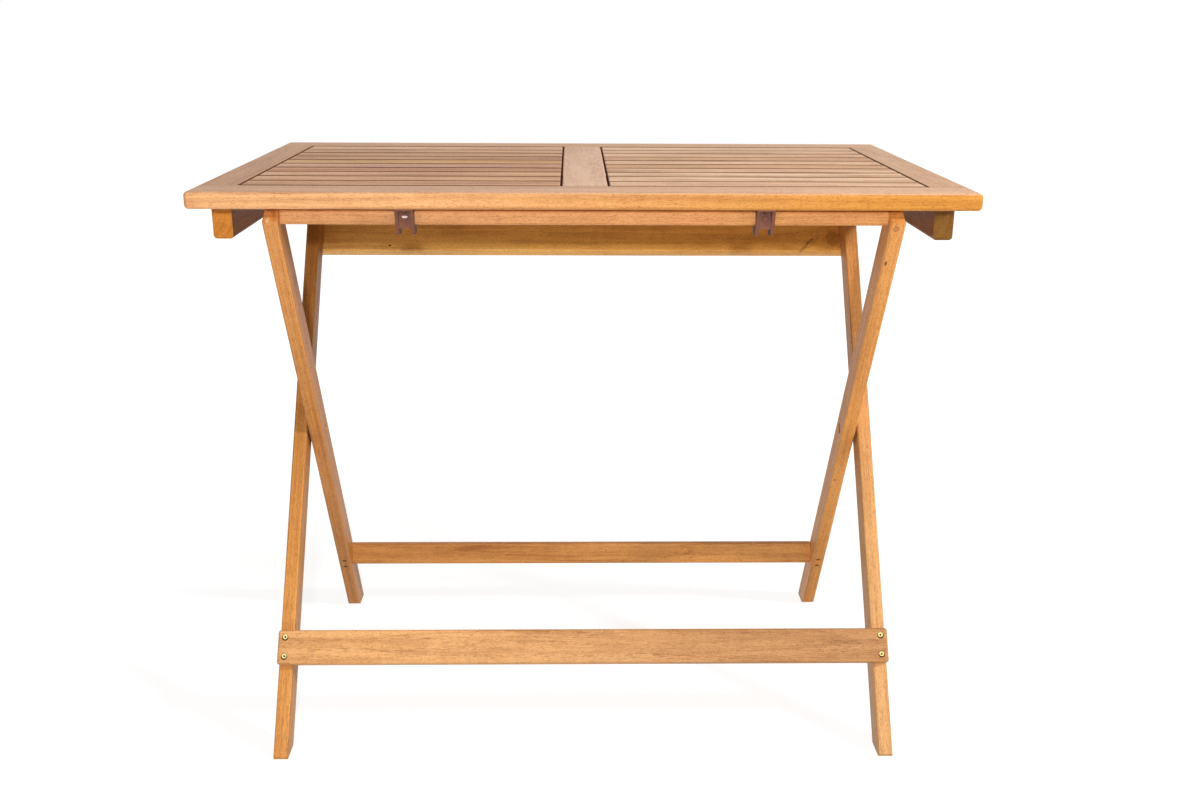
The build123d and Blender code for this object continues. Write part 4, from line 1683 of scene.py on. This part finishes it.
@dataclass(frozen=True)
class Studio:
    """A white studio: the floor, the bright surround, the softboxes and the camera.

    Lengths are in metres, apart from the lens and its sensor, and angles are in degrees. To the
    eye the floor is lifted to white by a glow that grows over its reach round the table, and the
    wash is what lets a contact shadow show.
    """

    floor_size: float = 14.0
    floor_gap: float = 0.2 * MM
    paper: str = "#e8e8e8"
    wash: float = 0.38
    glow: tuple[float, float] = (0.81, 0.98)
    glow_reach: tuple[float, float] = (0.6, 1.2)
    ambient: float = 0.29
    lens: float = 41.156
    sensor: float = 36.0
    stand: tuple[float, float, float] = (-0.0152, -1.8326, 0.8964)
    pitch: float = 15.84
    yaw: float = 1.21
    roll: float = 0.32
    softboxes: tuple[Softbox, ...] = (
        Softbox("key", azimuth=59, elevation=30, distance=3.8, size=0.4, watts=88, tint="#fffaf2"),
        Softbox("front", azimuth=1, elevation=17.7, distance=3.02, size=0.1, watts=36),
        Softbox("top", azimuth=10, elevation=80, distance=3.0, size=2.0, watts=6),
    )

    def build(self, low: Vector, high: Vector) -> None:
        """Builds the studio round the table.

        Args:
            low: The table's lowest corner.
            high: The table's highest corner.
        """
        middle = (low + high) / 2
        self._lay_floor(low.z)
        self._light_surround()
        for softbox in self.softboxes:
            softbox.hang(middle)
        self._set_camera()
        bpy.context.scene.view_settings.view_transform = "Standard"
        log.info("studio: floor, surround, %d softboxes and camera", len(self.softboxes))

    def _lay_floor(self, level: float) -> None:
        """Lays the white floor just under the feet.

        Args:
            level: The height of the feet.
        """
        half = self.floor_size / 2
        corners = [
            (x * half, y * half, level - self.floor_gap) for x, y in ((-1, -1), (1, -1), (1, 1), (-1, 1))
        ]
        mesh = bpy.data.meshes.new("studio_floor")
        mesh.from_pydata(corners, [], [(0, 1, 2, 3)])
        mesh.materials.append(self._white_paper())
        floor = bpy.data.objects.new("studio_floor", mesh)
        bpy.context.scene.collection.objects.link(floor)
        floor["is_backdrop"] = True

    def _white_paper(self) -> Material:
        """Makes the floor's paper, as white to the eye as the surround but for contact shadows.

        Returns:
            The material.
        """
        made, tree = new_material("studio_paper_white")
        rays = add_node(tree, "ShaderNodeLightPath").outputs
        back = add_node(tree, "ShaderNodeNewGeometry").outputs["Backfacing"]
        paper = add_node(tree, "ShaderNodeBsdfDiffuse", inputs={"Color": linear(self.paper)})
        mirror = add_node(tree, "ShaderNodeEmission", inputs={"Color": linear("#ffffff"), "Strength": 1.0})
        wash = add_node(
            tree, "ShaderNodeBsdfDiffuse", inputs={"Color": (self.wash, self.wash, self.wash, 1.0)}
        )
        place = add_node(tree, "ShaderNodeTexCoord")
        away = add_node(tree, "ShaderNodeVectorMath", {"operation": "LENGTH"}, {0: place.outputs["Object"]})
        fade = add_node(
            tree, "ShaderNodeMapRange",
            inputs={
                "Value": away.outputs["Value"],
                "From Min": self.glow_reach[0],
                "From Max": self.glow_reach[1],
                "To Min": self.glow[0],
                "To Max": self.glow[1],
            },
        )
        glow = add_node(
            tree, "ShaderNodeEmission", inputs={"Color": linear("#ffffff"), "Strength": fade.outputs[0]}
        )
        eye = add_node(tree, "ShaderNodeAddShader", inputs={0: wash.outputs[0], 1: glow.outputs[0]})
        mirrored = add_node(
            tree, "ShaderNodeMath", {"operation": "MAXIMUM"},
            {0: rays["Is Glossy Ray"], 1: rays["Is Transmission Ray"]},
        )
        bounced = add_node(
            tree, "ShaderNodeMixShader",
            inputs={0: mirrored.outputs[0], 1: paper.outputs[0], 2: mirror.outputs[0]},
        )
        above = add_node(
            tree, "ShaderNodeMixShader",
            inputs={0: rays["Is Camera Ray"], 1: bounced.outputs[0], 2: eye.outputs[0]},
        )
        # Seen from below, the paper isn't in the way.
        clear = add_node(tree, "ShaderNodeBsdfTransparent")
        under = add_node(
            tree, "ShaderNodeMath", {"operation": "MULTIPLY"}, {0: back, 1: rays["Is Camera Ray"]}
        )
        surface = add_node(
            tree, "ShaderNodeMixShader",
            inputs={0: under.outputs[0], 1: above.outputs[0], 2: clear.outputs[0]},
        )
        add_node(tree, "ShaderNodeOutputMaterial", inputs={"Surface": surface.outputs[0]})
        return made

    def _light_surround(self) -> None:
        """Sets the world: white to the eye and in reflections, dimmer as a light."""
        world = bpy.data.worlds.new("studio_surround")
        world.use_nodes = True
        tree = world.node_tree
        tree.nodes.clear()
        rays = add_node(tree, "ShaderNodeLightPath").outputs
        first = add_node(
            tree, "ShaderNodeMath", {"operation": "MAXIMUM"},
            {0: rays["Is Camera Ray"], 1: rays["Is Glossy Ray"]},
        )
        seen = add_node(
            tree, "ShaderNodeMath", {"operation": "MAXIMUM"},
            {0: first.outputs[0], 1: rays["Is Transmission Ray"]},
        )
        soft = add_node(
            tree, "ShaderNodeBackground", inputs={"Color": linear("#ffffff"), "Strength": self.ambient}
        )
        white = add_node(tree, "ShaderNodeBackground", inputs={"Color": linear("#ffffff"), "Strength": 1.0})
        mixed = add_node(
            tree, "ShaderNodeMixShader", inputs={0: seen.outputs[0], 1: soft.outputs[0], 2: white.outputs[0]}
        )
        add_node(tree, "ShaderNodeOutputWorld", inputs={"Surface": mixed.outputs[0]})
        bpy.context.scene.world = world

    def _set_camera(self) -> None:
        """Sets the camera in front of the table, looking a little down."""
        pitch, yaw, roll = (math.radians(angle) for angle in (self.pitch, self.yaw, self.roll))
        ahead = Vector((math.sin(yaw) * math.cos(pitch), math.cos(yaw) * math.cos(pitch), -math.sin(pitch)))
        level = Vector((math.cos(yaw), -math.sin(yaw), 0.0))
        upward = level.cross(ahead)
        right = math.cos(roll) * level + math.sin(roll) * upward
        top = -math.sin(roll) * level + math.cos(roll) * upward
        data = bpy.data.cameras.new("camera")
        data.lens = self.lens
        data.sensor_width = self.sensor
        camera = bpy.data.objects.new("camera", data)
        turn = Matrix((right, top, -ahead)).transposed()
        camera.matrix_world = Matrix.Translation(self.stand) @ turn.to_4x4()
        bpy.context.scene.collection.objects.link(camera)
        bpy.context.scene.camera = camera


def leg_lean() -> float:
    """Works out the legs' lean from the two pivots.

    Returns:
        The lean from upright, in radians.
    """
    joints = {joint["name"]: Vector(joint["pos_m"]) for joint in frame["joints"]}
    run = joints["top_tilt"] - joints["leg_fold"]
    return math.atan2(run.y, run.z)


def main() -> None:
    """Dresses the table, winds the threads and builds the studio."""
    logging.basicConfig(level=logging.INFO, format="%(name)s: %(message)s")
    cad_low, cad_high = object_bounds()
    lean = leg_lean()
    AcaciaGrain.build()
    AcaciaKnot.build()
    dressed = sum(part(lean=lean).dress() for part in (Tabletop, OuterFrame, InnerFrame))
    threads = BoltThreads().wind()
    log.info("dressed %d of %d CAD nodes, %d thread pieces", dressed, len(frame["nodes"]), len(threads))
    Studio().build(cad_low, cad_high)


if __name__ == "__main__":
    main()
